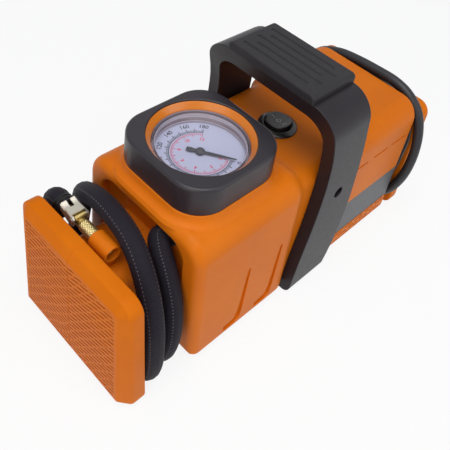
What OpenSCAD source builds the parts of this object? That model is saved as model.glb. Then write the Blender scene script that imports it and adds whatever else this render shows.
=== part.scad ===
// Portable tire inflator: two moulded half shells shaped like a spool, with the air hose wound on the
// front neck and the power lead on the rear neck, a dial gauge and a rocker switch on top, and a motor,
// a crank gear and a piston pump inside. X runs from the hose end to the lead end, +Y is the far side,
// Z is up. Stations along X are counted from the front plate's face and centred by in_frame().

/* [Overall] */
// Length over both end plates
overall_length = 308; // [290:1:340]
// Height of the body's flat top above the ground
body_top = 113; // [108:1:124]
// Height of the body's underside above the ground
body_floor = 3.5; // [3:0.5:6]
// Width of the body, at ground level
body_width = 116; // [112:1:130]
// How far each side leans inwards for every mm of height
draft = 0.06; // [0:0.005:0.07]
// Thickness of the moulded walls
wall = 3; // [2.4:0.1:3.6]
// Radius along the body's long top edges
top_edge_r = 16; // [10:1:18]
// Radius along the body's long lower edges
low_edge_r = 4; // [4:0.5:6]

/* [End plates] */
// Thickness of each end plate, bevel included
plate_thick = 17.6; // [15:0.1:18]
// Depth of the bevel round each end plate's face
plate_bevel = 7; // [5:0.5:9]
// Width of the front plate, at ground level
front_plate_width = 114; // [104:1:124]
// Height of the front plate
front_plate_height = 103; // [94:1:108]
// Width of the rear plate, at ground level
rear_plate_width = 118; // [108:1:126]
// Height of the rear plate
rear_plate_height = 104; // [96:1:108]
// Corner radius of both plates
plate_corner = 10; // [9:0.5:12]
// How far the plates' faces lean outwards at the bottom, in degrees
plate_lean = 2.75; // [0:0.25:3]

/* [Body stations] */
// Where the front of the body starts
body_front = 55; // [54:0.5:57]
// Depth of the hose recess in the body's front
hose_recess = 5.5; // [4:0.5:7]
// Where the waist for the handle starts
waist_front = 148; // [147:1:149]
// Where the waist for the handle ends
waist_rear = 204; // [203:1:206]
// Depth of the waist
waist_depth = 4.5; // [3.5:0.5:5]
// Room between the lead in the rear gap and the walls on both sides of it
lead_room = 0.4; // [0.3:0.1:0.6]
// Depth of the lead recess in the body's rear
lead_recess = 15.6; // [15:0.1:16.4]
// Depth of the pocket for the label plate
label_pocket = 2; // [1.6:0.1:2.4]

/* [Handle] */
// Height of the handle's top
handle_top = 166; // [158:1:176]
// Thickness of the handle's legs
leg_thick = 9.6; // [8:0.1:11]
// Thickness of the handle's top bar, without the pad
bar_thick = 11; // [9:0.5:12]
// Width of the handle's top bar along the inflator
bar_width = 41; // [36:1:44]
// Thickness of the grip pad
pad_thick = 6; // [4:0.5:8]
// Length of the grip pad across the handle
pad_length = 70; // [60:1:74]
// Running gap between the handle and the body
handle_gap = 0.2; // [0.1:0.05:0.3]

/* [Gauge] */
// Width of the square bezel
bezel_width = 76; // [74:1:80]
// Height of the bezel's skirt
bezel_height = 20; // [17:1:23]
// Corner radius of the bezel
bezel_corner = 21; // [16:1:26]
// Radius of the tapered ring at its top
ring_r = 33; // [32:0.5:34]
// Radius of the clear lens
lens_r = 29.5; // [28:0.5:30]
// Depth of the lens below the bezel's top
lens_drop = 6; // [5:0.5:8]
// Depth of the dial below the bezel's top
dial_drop = 14.5; // [13.5:0.5:15]
// Length of the needle from its spindle to its tip
needle_length = 22.5; // [18:0.5:24]
// Radius of the needle's spindle
spindle_r = 1; // [0.8:0.1:1.2]

/* [Switch] */
// Radius of the switch's round flange
switch_r = 14; // [12:0.5:15]
// Radius of the switch's barrel
barrel_r = 10; // [9:0.5:11]
// Depth of the switch's barrel below the flange
barrel_depth = 13; // [10:1:13]

/* [Hose and lead] */
// Diameter of the braided air hose
hose_d = 13.5; // [12:0.5:13.5]
// Diameter of the power lead
lead_d = 8; // [7:0.5:8.2]
// Diameter of the tube that holds the chuck
holder_d = 12; // [11.5:0.5:12.5]
// Diameter of the chuck's brass body
chuck_d = 8; // [7.6:0.2:8.2]

/* [Pump] */
// Height of the crank above the ground
crank_z = 38; // [38:1:39]
// Radius of the crank
crank_r = 5; // [4:0.5:5]
// Teeth on the pinion
pinion_teeth = 10; // [9:1:10]
// Teeth on the drive gear
gear_teeth = 50; // [48:1:50]
// Module of the gears
gear_module = 1; // [0.98:0.01:1]
// Diameter of the piston
piston_d = 28; // [26:0.5:28]
// Distance between the con rod's two eyes
rod_length = 28; // [28:0.5:29]
// Radius of the motor
motor_r = 21; // [18:0.5:21]
// Length of the motor's can
motor_length = 60; // [54:1:62]
// Radius of the motor's shaft
shaft_r = 2.5; // [2:0.1:2.6]

/* [Hidden] */
$fn = 48;
eps = 0.01;
running_gap = 0.05;
seat_gap = 0.1;

body_half = body_width / 2;
rear_plate_x = overall_length - plate_thick;
lead_gap = lead_d + 2 * lead_room;
body_rear = rear_plate_x - lead_gap;
lead_x = body_rear + lead_gap / 2;
front_wall_x = body_front + hose_recess;
rear_wall_x = body_rear - lead_recess;

gauge_x = 99.6;
bezel_top = body_top + 6 + bezel_height;
dial_top = bezel_top - dial_drop;
lens_top = bezel_top - lens_drop;
switch_x = waist_front + 26.8;
waist_top = body_top - waist_depth;

cylinder_x = 108;
gear_thick = 6;
crank_disc_x = cylinder_x + 8;
gear_x = crank_disc_x + 12;
frame_x = gear_x + gear_thick + 4;
frame_thick = 5;
gear_r = gear_module * gear_teeth / 2;
pinion_r = gear_module * pinion_teeth / 2;
shaft_z = crank_z + gear_r + pinion_r;
crank_pin_r = 3;
axle_r = 4;
motor_x = frame_x + frame_thick;
wrist_z = crank_z + crank_r + rod_length;
piston_top = wrist_z + 18;
cylinder_base = 58;
cylinder_top = 90;
head_top = 98;
bore_r = piston_d / 2 + 0.3;
holder_x = 26.5;
holder_z = 96.5;
neck_half = 24;
neck_low = 26;
neck_high = 84;
core_half = 20;
core_low = 36;
core_high = 73.5;
// Places of the shell screws as [station, height]
boss_front = front_wall_x + 15;
boss_mid = waist_rear + 4;
boss_rear = rear_wall_x - 10;
boss_places = [[boss_front, 22], [boss_front, 78], [boss_mid, 20], [boss_mid, 101], [boss_rear, 20],
               [boss_rear, 98]];
boss_r = 4;
screw_r = 1.4;
screw_head_r = 2.8;
screw_seat = 8;

function unit(v) = v / norm(v);
// Points of a fillet of radius r on the corner b between a and c
function fillet(a, b, c, r, n) =
    let (u = unit(a - b), v = unit(c - b), half = acos(u * v) / 2,
         m = b + unit(u + v) * r / sin(half),
         s = b + u * r / tan(half) - m, e = b + v * r / tan(half) - m,
         t0 = atan2(s[1], s[0]), turn = atan2(e[1], e[0]) - t0,
         sweep = turn > 180 ? turn - 360 : turn < -180 ? turn + 360 : turn)
    [for (i = [0:n]) m + r * [cos(t0 + sweep * i / n), sin(t0 + sweep * i / n)]];
// A closed outline with every corner rounded by its own radius
function rounded(p, r, n = 6) =
    let (k = len(p))
    [for (i = [0:k - 1]) each fillet(p[(i + k - 1) % k], p[i], p[(i + 1) % k], r[i], n)];
function half_at(half, z) = half - draft * z;
// Cross section across X of a piece with leaning sides: half width at the ground, two heights, two radii
function section(half, low, high, r_low, r_high, n = 6) =
    rounded([[-half_at(half, low), low], [half_at(half, low), low],
             [half_at(half, high), high], [-half_at(half, high), high]],
            [r_low, r_low, r_high, r_high], n);

// Moves a piece from its station to the part's own frame
module in_frame() translate([-overall_length / 2, 0, 0]) children();
// Extrudes an outline of [y, z] points from station a to station b
module along_x(a, b) translate([a, 0, 0]) rotate([90, 0, 90]) linear_extrude(b - a) children();
// Extrudes an outline of [x, z] points from one y to another
module along_y(a, b) translate([0, b, 0]) rotate([90, 0, 0]) linear_extrude(b - a) children();
module rod_x(a, b, r, y, z) translate([a, y, z]) rotate([0, 90, 0]) cylinder(h = b - a, r = r);
module rod_y(a, b, r, x, z) translate([x, a, z]) rotate([-90, 0, 0]) cylinder(h = b - a, r = r);
module near_half() translate([-5, -200, -5]) cube([overall_length + 10, 200, 300]);
module far_half() translate([-5, 0, -5]) cube([overall_length + 10, 200, 300]);
// A tube through a list of points, with one ring of flat sides at each
module tube(path, r, sides = 10) {
    n = len(path);
    heading = [for (i = [0:n - 1]) unit(path[min(i + 1, n - 1)] - path[max(i - 1, 0)])];
    side = [for (i = 0, s = unit(cross(heading[0], [0.2, 0.1, 1])); i < n;
                 i = i + 1, s = i < n ? unit(s - (s * heading[i]) * heading[i]) : s) s];
    rings = [for (i = [0:n - 1]) let (up = cross(heading[i], side[i]))
             for (k = [0:sides - 1]) let (a = 360 * k / sides) path[i] + r * (cos(a) * side[i] + sin(a) * up)];
    skin = [for (i = [0:n - 2]) for (k = [0:sides - 1])
            let (a = i * sides + k, b = i * sides + (k + 1) % sides)
            each [[a, b, a + sides], [b, b + sides, a + sides]]];
    caps = [[for (k = [sides - 1:-1:0]) k], [for (k = [0:sides - 1]) (n - 1) * sides + k]];
    polyhedron(points = rings, faces = concat(skin, caps));
}

// ---- End plates, necks and body: the outer form that both half shells share ----
module plate_form(width, height) {
    half = width / 2;
    hull() {
        along_x(plate_bevel + 2, plate_thick)
            polygon(section(half, 0, height, plate_corner * 0.7, plate_corner, 5));
        rotate([0, plate_lean, 0])
            translate([-sin(plate_lean) * plate_bevel * 0.7, 0, 0])
            along_x(0, 0.5)
            polygon(section(half - plate_bevel, plate_bevel * 0.7, height - plate_bevel,
                            plate_corner * 0.5, plate_corner * 0.7, 5));
    }
}
module plate_hollow(width, height)
    along_x(plate_bevel + 2 + wall, plate_thick - wall)
    polygon(section(width / 2 - wall, wall, height - wall, plate_corner * 0.5, plate_corner - wall, 4));
module rear_plate_place() translate([overall_length, 0, 0]) mirror([1, 0, 0]) children();
module body_form() {
    along_x(body_front, waist_front)
        polygon(section(body_half, body_floor, body_top, low_edge_r, top_edge_r));
    along_x(waist_front, waist_rear)
        polygon(section(body_half - waist_depth, body_floor + waist_depth, waist_top, low_edge_r,
                        top_edge_r - waist_depth));
    along_x(waist_rear, body_rear)
        polygon(section(body_half, body_floor, body_top, low_edge_r, top_edge_r));
    translate([gauge_x, 0, body_top - 2])
        linear_extrude(8) offset(bezel_corner) square(bezel_width + 2 - 2 * bezel_corner, center = true);
}
module body_hollow() {
    along_x(front_wall_x + wall, waist_front - wall)
        polygon(section(body_half - wall, body_floor + wall, body_top - wall, low_edge_r - wall,
                        top_edge_r - wall));
    along_x(waist_front - wall - eps, waist_rear + wall + eps)
        polygon(section(body_half - waist_depth - wall, body_floor + waist_depth + wall, waist_top - wall,
                        low_edge_r - wall, top_edge_r - waist_depth - wall));
    along_x(waist_rear + wall, rear_wall_x - wall)
        polygon(section(body_half - wall, body_floor + wall, body_top - wall, low_edge_r - wall,
                        top_edge_r - wall));
}
hose_pocket_half = 38;
lead_pocket_half = 45.5;
lead_pocket_low = 11.5;
lead_pocket_high = 104.5;
module recesses() {
    along_x(body_front - 1, front_wall_x)
        polygon(rounded([[-hose_pocket_half - 3, 12], [hose_pocket_half + 3, 12],
                         [hose_pocket_half, body_top - 7], [-hose_pocket_half, body_top - 7]],
                        [8, 8, 12, 12]));
    along_x(rear_wall_x, body_rear + 1)
        polygon(rounded([[-lead_pocket_half, lead_pocket_low], [lead_pocket_half, lead_pocket_low],
                         [lead_pocket_half, lead_pocket_high], [-lead_pocket_half, lead_pocket_high]],
                        [10, 10, 10, 10]));
}
module neck(a, b, half, low, high) {
    difference() {
        along_x(a, b)
            polygon(rounded([[-half, low], [half, low], [half, high], [-half, high]], [10, 10, 10, 10]));
        along_x(a - 1, b + 1)
            polygon(rounded([[-half + wall, low + wall], [half - wall, low + wall],
                             [half - wall, high - wall], [-half + wall, high - wall]], [7, 7, 7, 7]));
    }
}
module boss(side) {
    for (p = boss_places)
        intersection() {
            rod_y(side < 0 ? -body_half : 0, side < 0 ? 0 : body_half, boss_r, p[0], p[1]);
            along_x(p[0] - boss_r - 1, p[0] + boss_r + 1)
                polygon(section(body_half - wall / 2, body_floor, body_top, low_edge_r, top_edge_r));
        }
}
module shell(side) {
    difference() {
        union() {
            difference() {
                union() {
                    plate_form(front_plate_width, front_plate_height);
                    rear_plate_place() plate_form(rear_plate_width, rear_plate_height);
                    body_form();
                }
                plate_hollow(front_plate_width, front_plate_height);
                rear_plate_place() plate_hollow(rear_plate_width, rear_plate_height);
                body_hollow();
                recesses();
            }
            neck(plate_thick - eps, front_wall_x + eps, neck_half, neck_low, neck_high);
            neck(rear_wall_x - eps, rear_plate_x + eps, core_half, core_low, core_high);
            boss(side);
            board_posts();
        }
        if (side < 0) far_half();
        else near_half();
        // Openings for the gauge, the switch, the hose nipple and the lead's boot
        translate([gauge_x, 0, body_top - 12]) cylinder(h = 30, r = can_r + seat_gap);
        translate([switch_x, 0, waist_top - 10]) cylinder(h = 20, r = barrel_r + seat_gap);
        rod_x(front_wall_x - 1, front_wall_x + wall + 1, nipple_r + seat_gap, nipple_y, nipple_z);
        rod_y(1, core_half + 1, boot_end_r + 0.3, boot_x, boot_z);
        board_holes();
        // Gill grooves in the sides
        for (g = [100, 131]) gill(g, side);
        // Three dashes along the rear block's flank
        for (d = [[waist_rear + 6, 13], [waist_rear + 27, 17], [body_rear - 28, 18]])
            translate([d[0], side < 0 ? -70 : half_at(body_half, 87) - 0.8, 86])
                cube([d[1], side < 0 ? 70 - half_at(body_half, 87) + 0.8 : 12, 2]);
        if (side < 0) near_cuts();
        else far_cuts();
    }
}
// A J-shaped groove, deep at its foot and shallow at its top
module gill(x, side) {
    depth = 1.6;
    low = body_floor + 5;
    rotate([side < 0 ? -atan(draft) : atan(draft), 0, 0])
    along_y(side < 0 ? -body_half - 5 : body_half - depth, side < 0 ? -body_half + depth : body_half + 5)
        polygon([[x - 15, low], [x - 3, low], [x, low + 7], [x + 1.5, low + 47], [x - 1.5, low + 47],
                 [x - 3.4, low + 10], [x - 6, low + 3.4], [x - 15, low + 3.4]]);
}
label_low = 18;
label_high = 52;
label_front = waist_rear + 1;
module near_cuts() {
    // Pocket of the label plate, which runs out at the body's rear edge
    along_x(label_front, body_rear + 1)
        polygon([[-body_half - 5, label_low], [-half_at(body_half, label_low) + label_pocket, label_low],
                 [-half_at(body_half, label_high) + label_pocket, label_high],
                 [-body_half - 5, label_high]]);
    // Pilot holes for the shell screws
    for (p = boss_places) rod_y(-12, eps, screw_r, p[0], p[1]);
    // Vent slots along the foot of the side
    for (x = [waist_rear + 8:6:body_rear - 8])
        translate([x, -body_half - 1, body_floor + 3]) cube([2, 2.2, 7]);
}
module far_cuts() {
    for (p = boss_places) {
        rod_y(-eps, body_half + 5, screw_r + seat_gap, p[0], p[1]);
        rod_y(screw_seat, body_half + 5, screw_head_r + seat_gap, p[0], p[1]);
    }
    // Air slots for the motor's fan
    for (z = [42:8:82])
        translate([waist_rear + 10, half_at(body_half, z) - wall - 2, z]) cube([36, wall + 6, 3.4]);
}
module near_shell() color("darkorange") in_frame() shell(-1);
module far_shell() color("darkorange") in_frame() shell(1);
module shell_screws() color("silver") in_frame()
    for (p = boss_places) {
        rod_y(-10, screw_seat, screw_r - running_gap, p[0], p[1]);
        rod_y(screw_seat, screw_seat + 2.4, screw_head_r, p[0], p[1]);
    }
module label_plate() color("dimgray") in_frame()
    along_x(label_front + seat_gap, body_rear - 2)
    polygon([[-half_at(body_half, label_low) + 0.4, label_low + seat_gap],
             [-half_at(body_half, label_low) + label_pocket - running_gap, label_low + seat_gap],
             [-half_at(body_half, label_high) + label_pocket - running_gap, label_high - seat_gap],
             [-half_at(body_half, label_high) + 0.4, label_high - seat_gap]]);
// Tube on a short post that the chuck is pushed into for storage
holder_near = -12;
holder_far = 4;
module chuck_holder() color("darkorange") in_frame()
    difference() {
        union() {
            rod_y(holder_near, holder_far, holder_d / 2, holder_x, holder_z);
            translate([holder_x - 4, holder_near + 2, neck_high])
                cube([8, holder_far - holder_near - 4, holder_z - neck_high]);
        }
        rod_y(holder_near - 1, holder_far + 1, chuck_d / 2 + seat_gap, holder_x, holder_z);
    }

// ---- Handle ----
// Outline of the handle's side, as [station, height] from the ground up
bar_front = waist_front + 3.5;
bar_rear = bar_front + bar_width;
function handle_side() = [for (p = [
    [1.2, 0], [40, 0], [47, 20], [51, 42], [53, 68], [52, 96], [50, 118], [4.5 + bar_width, handle_top - 20],
    [4.5 + bar_width, handle_top + 10], [4.5, handle_top + 10], [5.5, handle_top - 10],
    [13, handle_top - 38], [15, 104], [14, 84], [11, 60], [7, 38], [4, 20]
]) [waist_front - 1 + p[0], p[1]]];
leg_half = body_half - waist_depth + handle_gap + leg_thick;
module handle_frame() color([0.13, 0.13, 0.15]) in_frame()
    difference() {
        intersection() {
            along_x(waist_front - 8, waist_rear + 8)
                polygon(section(leg_half, 0, handle_top - pad_thick, 6, 18));
            along_y(-80, 80) polygon(handle_side());
        }
        along_x(waist_front - 9, waist_rear + 9)
            polygon(section(body_half - waist_depth + handle_gap, body_floor + waist_depth - handle_gap,
                            handle_top - pad_thick - bar_thick, low_edge_r, 14));
        for (s = [-1, 1]) rod_y(s < 0 ? -70 : 40, s < 0 ? -40 : 70, handle_screw_r + seat_gap,
                                handle_screw_x, handle_screw_z);
    }
handle_screw_x = waist_front + 32;
handle_screw_z = 87;
handle_screw_r = 4;
leg_inner = half_at(body_half - waist_depth + handle_gap, handle_screw_z);
module handle_screws() color("black") in_frame()
    for (s = [-1, 1])
        rod_y(s < 0 ? -leg_inner - 6.5 : leg_inner + 0.5, s < 0 ? -leg_inner - 0.5 : leg_inner + 6.5,
              handle_screw_r, handle_screw_x, handle_screw_z);
module grip_pad() color([0.1, 0.1, 0.12]) in_frame()
    difference() {
        along_x(bar_front, bar_rear)
            polygon(rounded([[-pad_length / 2, handle_top - pad_thick],
                             [pad_length / 2, handle_top - pad_thick],
                             [pad_length / 2 - 1.5, handle_top], [-pad_length / 2 + 1.5, handle_top]],
                            [0.3, 0.3, 3, 3]));
        // Staggered finger grooves
        for (i = [0:4])
            translate([bar_front + 7 + i * 6.4, i % 2 == 0 ? -29 : -23, handle_top - 1.2])
                cube([1.2, 52, 2]);
    }

// ---- Gauge ----
can_r = 28;
can_low = body_top - 9.5;
module gauge_bezel() color([0.12, 0.12, 0.14]) in_frame()
    translate([gauge_x, 0, 0])
    difference() {
        translate([0, 0, body_top + 6])
            linear_extrude(bezel_height) offset(bezel_corner)
            square(bezel_width - 2 * bezel_corner, center = true);
        translate([0, 0, bezel_top - 9]) cylinder(h = 10, r = ring_r + seat_gap);
        translate([0, 0, body_top]) cylinder(h = bezel_height, r = can_r + 3);
    }
module gauge_ring() color("darkorange") in_frame()
    translate([gauge_x, 0, 0])
    rotate_extrude()
    polygon([[ring_r - 1.4, bezel_top - 0.6], [ring_r, bezel_top - 0.6], [ring_r, bezel_top - 9],
             [lens_r + 0.3, bezel_top - 9], [lens_r + 0.3, lens_top - 0.4]]);
module gauge_lens() color([0.8, 0.85, 0.9, 0.4]) in_frame()
    translate([gauge_x, 0, 0])
    rotate_extrude()
    polygon([[0, lens_top - 1.6], [lens_r - 1.8, lens_top - 1.6], [lens_r - 1.8, dial_top + 0.2],
             [lens_r, dial_top + 0.2], [lens_r, lens_top - 0.8], [lens_r - 0.8, lens_top], [0, lens_top]]);
module gauge_dial() color("ghostwhite") in_frame()
    translate([gauge_x, 0, dial_top - 1])
    difference() {
        cylinder(h = 1, r = lens_r);
        translate([0, 0, -1]) cylinder(h = 3, r = spindle_r + 1);
    }
module gauge_can() color("silver") in_frame()
    translate([gauge_x, 0, 0])
    difference() {
        union() {
            translate([0, 0, can_low]) cylinder(h = dial_top - 1 - can_low, r = can_r);
            translate([stem_x - gauge_x, stem_y, manifold_top])
                cylinder(h = can_low - manifold_top + 1, r = 4);
        }
        difference() {
            translate([0, 0, can_low + 1.5]) cylinder(h = 30, r = can_r - 1.2);
            translate([0, 0, can_low]) cylinder(h = 12, r = 5);
        }
        translate([0, 0, can_low + 3]) cylinder(h = 30, r = spindle_r + running_gap);
    }
zero_angle = -55;
module gauge_needle() color([0.15, 0.15, 0.17]) in_frame()
    translate([gauge_x, 0, 0]) rotate([0, 0, zero_angle]) {
        translate([0, 0, can_low + 4]) cylinder(h = dial_top + 2.4 - can_low - 4, r = spindle_r);
        translate([0, 0, dial_top + 1.2])
            linear_extrude(0.6)
            polygon([[-8.6, -1.2], [-6, -1.4], [0, -1], [needle_length, -0.15], [needle_length, 0.15],
                     [0, 1], [-6, 1.4], [-8.6, 1.2]]);
        translate([0, 0, dial_top + 1]) cylinder(h = 1.6, r = 2.6);
    }

// ---- Switch ----
rocker_half = 7.4;
rocker_pivot = waist_top - 1;
module switch_body() color([0.1, 0.1, 0.11]) in_frame()
    translate([switch_x, 0, 0])
    difference() {
        union() {
            translate([0, 0, waist_top]) cylinder(h = 2.4, r1 = switch_r, r2 = switch_r - 1.4);
            translate([0, 0, waist_top - barrel_depth]) cylinder(h = barrel_depth + 1, r = barrel_r);
            for (y = [-6, 0, 6])
                translate([-2.4, y - 0.4, waist_top - barrel_depth - 5]) cube([4.8, 0.8, 6]);
        }
        translate([-6.2, -rocker_half - 1.4, waist_top - 7]) cube([12.4, 2 * rocker_half + 2.8, 12]);
        rod_x(-7.6, 7.6, 1.3 + running_gap, 0, rocker_pivot);
    }
module switch_rocker() color([0.08, 0.08, 0.09]) in_frame()
    translate([switch_x, 0, 0]) {
        along_x(-5.8, 5.8)
            polygon([[-rocker_half, rocker_pivot + 5.4], [-rocker_half, rocker_pivot + 1],
                     [-3, rocker_pivot - 3], [3, rocker_pivot - 3], [rocker_half, rocker_pivot + 1],
                     [rocker_half, rocker_pivot + 5.4], [0, rocker_pivot + 4.4]]);
        rod_x(-7.3, 7.3, 1.3, 0, rocker_pivot);
    }

// ---- Hose, its fittings and the tyre chuck ----
nipple_y = -18;
nipple_z = 96;
nipple_r = 4;
hose_start_x = front_wall_x - 2;
module hose_nipple() color("goldenrod") in_frame()
    difference() {
        union() {
            rod_x(hose_start_x, manifold_front, nipple_r, nipple_y, nipple_z);
            rod_x(front_wall_x + wall + 0.2, front_wall_x + wall + 4, 6, nipple_y, nipple_z);
        }
        rod_x(hose_start_x - 1, manifold_front + 1, 1.5, nipple_y, nipple_z);
    }
hose_path = [
    [58.5, -18, 96], [54.8, -18, 96], [51.4, -22.8, 94.2], [49, -30.2, 87.6], [47.8, -36.6, 77],
    [46.4, -42.4, 63], [44, -46.6, 48], [41.6, -48, 33], [39.8, -46, 20], [38.9, -38.4, 10.4],
    [38.6, -25, 7], [38.6, -6, 6.9], [38.6, 12, 6.9], [38.9, 29, 9], [39.8, 41, 18],
    [41.6, 48, 33], [44.6, 51, 50], [47, 50.5, 66], [46.6, 47, 80], [43.8, 39.6, 92.4],
    [41.3, 29, 101.2], [39.8, 16, 106.8], [38.6, 2, 107.8], [37.2, -12, 105.2], [34.9, -24, 99],
    [32.2, -34, 90], [29.7, -42.2, 78], [27.6, -48, 64], [26, -51, 49], [25.2, -52, 34],
    [24.8, -50, 20], [24.8, -42.8, 10.1], [24.8, -30, 7], [24.8, -12, 6.9], [24.8, 5, 6.9],
    [24.8, 22, 6.9], [24.8, 36, 9.6], [25.2, 45.5, 19], [25.8, 50.5, 33], [26.4, 52.4, 49],
    [26.7, 52.4, 64], [26.8, 51.2, 76], [26.7, 49, 85.5], [26.6, 46, 92.4], [26.5, 41.8, 96.5],
    [26.5, 38, 96.5]
];
module hose() color([0.1, 0.1, 0.12]) in_frame() tube(hose_path, hose_d / 2);
chuck_near = -8;
chuck_shoulder = 16;
chuck_far = 31;
ferrule_far = 38;
module hose_ferrule() color("silver") in_frame()
    difference() {
        rod_y(chuck_far, ferrule_far, hose_d / 2 + 0.15, holder_x, holder_z);
        rod_y(chuck_far - 1, chuck_far + 6, 2.6, holder_x, holder_z);
    }
lever_y = 20;
lever_z = holder_z + 3.6;
lug_r = 2;
cheek_in = chuck_d / 2 + 0.3;
cheek_out = cheek_in + 1.1;
module chuck_body() color("goldenrod") in_frame()
    difference() {
        union() {
            rod_y(chuck_near, chuck_shoulder, chuck_d / 2, holder_x, holder_z);
            rod_y(chuck_shoulder, chuck_far, chuck_d / 2 - 0.6, holder_x, holder_z);
            rod_y(chuck_far - eps, chuck_far + 6, 2.6, holder_x, holder_z);
            rod_x(holder_x - cheek_in + 0.7, holder_x + cheek_in - 0.7, lug_r, lever_y, lever_z);
        }
        rod_y(chuck_near - 1, chuck_near + 12, 2.8, holder_x, holder_z);
        rod_x(holder_x - 8, holder_x + 8, 1 + running_gap, lever_y, lever_z);
    }
// The lever: two cheeks, a plate above them that starts behind the pivot, and a slot for the two prongs
module chuck_lever() color("silver") in_frame() {
    rod_x(holder_x - cheek_out, holder_x + cheek_out, 1, lever_y, lever_z);
    difference() {
        along_x(holder_x - cheek_out, holder_x + cheek_out)
            polygon([[lever_y - 2.2, lever_z - 1.6], [lever_y - 1, lever_z - 4.6],
                     [lever_y + 4, lever_z - 4.6], [lever_y + 10.8, lever_z - 0.6],
                     [lever_y + 10.8, lever_z + 3.6], [lever_y + 1, lever_z + 3.6],
                     [lever_y - 2.2, lever_z + 1.8]]);
        along_x(holder_x - cheek_in, holder_x + cheek_in)
            polygon([[lever_y - 9, lever_z - 9], [lever_y + 18, lever_z - 9],
                     [lever_y + 18, lever_z + 2.4], [lever_y - 9, lever_z + 2.4]]);
        translate([holder_x - cheek_in, lever_y - 5, lever_z + 1.6])
            cube([2 * cheek_in, 6, 5]);
        translate([holder_x - 1.3, lever_y + 6, lever_z]) cube([2.6, 8, 12]);
    }
}
module chuck_pin() color("gold") in_frame() {
    rod_y(chuck_near + 2, chuck_near + 12, 1, holder_x, holder_z);
    rod_y(chuck_near + 10, chuck_near + 12, 2.8 - seat_gap, holder_x, holder_z);
}

// ---- Power lead ----
boot_x = (rear_wall_x + rear_plate_x) / 2;
boot_z = 58;
boot_end_r = 5;
coil_front = rear_wall_x + 0.4;
coil_rear = rear_plate_x - 0.4;
coil_depth = 3 * lead_d;
coil_low = core_low - 2 * lead_d;
module lead_coil() color([0.1, 0.1, 0.11]) in_frame()
    difference() {
        along_x(coil_front, coil_rear)
            polygon(rounded([[-core_half - coil_depth, coil_low],
                             [core_half + coil_depth, coil_low],
                             [core_half + coil_depth, core_high + coil_depth],
                             [-core_half - coil_depth, core_high + coil_depth]], [22, 22, 22, 22], 4));
        along_x(coil_front - 1, coil_rear + 1)
            polygon(rounded([[-core_half - 0.3, core_low - 0.3], [core_half + 0.3, core_low - 0.3],
                             [core_half + 0.3, core_high + 0.3], [-core_half - 0.3, core_high + 0.3]],
                            [10, 10, 10, 10], 4));
    }
lead_path = [
    [286, 44, 34], [286, 47.4, 34], [286, 50.8, 36.6], [286, 51.6, 42], [286, 51.2, 55.1], [286, 50, 68.8],
    [286, 46, 82.5], [286, 36, 94.9], [286, 22, 102.1], [286, 4, 103.5], [286, -14, 103.1], [286, -30, 98.5],
    [286, -42, 88.5], [286, -48.5, 74.8], [286, -49.6, 58.6], [286, -49, 40], [286, -42, 24], [286, -29, 16],
    [286, -10, 14.4], [286, 12, 14.2], [286, 33, 14.4], [286, 48, 19], [286, 57, 29], [286, 61.4, 43],
    [286, 62, 58.6], [286, 61, 74], [286, 57, 87.6], [286, 47.4, 101.5], [286, 31, 110.5], [286, 12, 112.9],
    [286, -6, 112.3], [286, -22, 110.9], [286, -36, 105.9], [286, -47.6, 96.5], [286, -55, 84.2],
    [286, -60, 68.8], [286, -62, 51.7], [286, -60, 34], [286, -54, 18], [286, -43, 8.5], [286, -26, 5],
    [286, -6, 4.8], [286, 14, 4.8], [286, 34, 4.8], [285.8, 49, 5], [284, 60.4, 6.2], [278, 67.8, 8.4],
    [271, 70, 10.6], [266, 70, 11], [262, 70, 11]
];
module lead_loop() color([0.1, 0.1, 0.11]) in_frame() tube(lead_path, lead_d / 2, 8);
module lead_boot() color([0.1, 0.1, 0.11]) in_frame()
    translate([boot_x, 1, boot_z]) rotate([-90, 0, 0])
        cylinder(h = core_half - 0.7, r1 = boot_end_r + 1, r2 = boot_end_r);
plug_x = 262;
plug_y = 70;
plug_r = 10;
plug_z = plug_r + 1;
module plug_body() color([0.1, 0.1, 0.11]) in_frame()
    difference() {
        rod_x(plug_x - 60, plug_x, plug_r, plug_y, plug_z);
        rod_x(plug_x - 61, plug_x - 48, 3 + running_gap, plug_y, plug_z);
        translate([plug_x - 45.5, plug_y - 1.7, plug_z - plug_r - 1]) cube([15, 3.4, 2 * plug_r + 2]);
    }
module plug_tip() color("silver") in_frame()
    rod_x(plug_x - 66, plug_x - 52, 3, plug_y, plug_z);
module plug_springs() color("silver") in_frame()
    for (s = [-1, 1])
        along_y(plug_y - 1.6, plug_y + 1.6)
            polygon([[plug_x - 45.5, plug_z], [plug_x - 30.5, plug_z],
                     [plug_x - 33, plug_z + s * (plug_r - 0.5)],
                     [plug_x - 37, plug_z + s * (plug_r + 1)], [plug_x - 42, plug_z + s * (plug_r - 0.5)]]);

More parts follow.
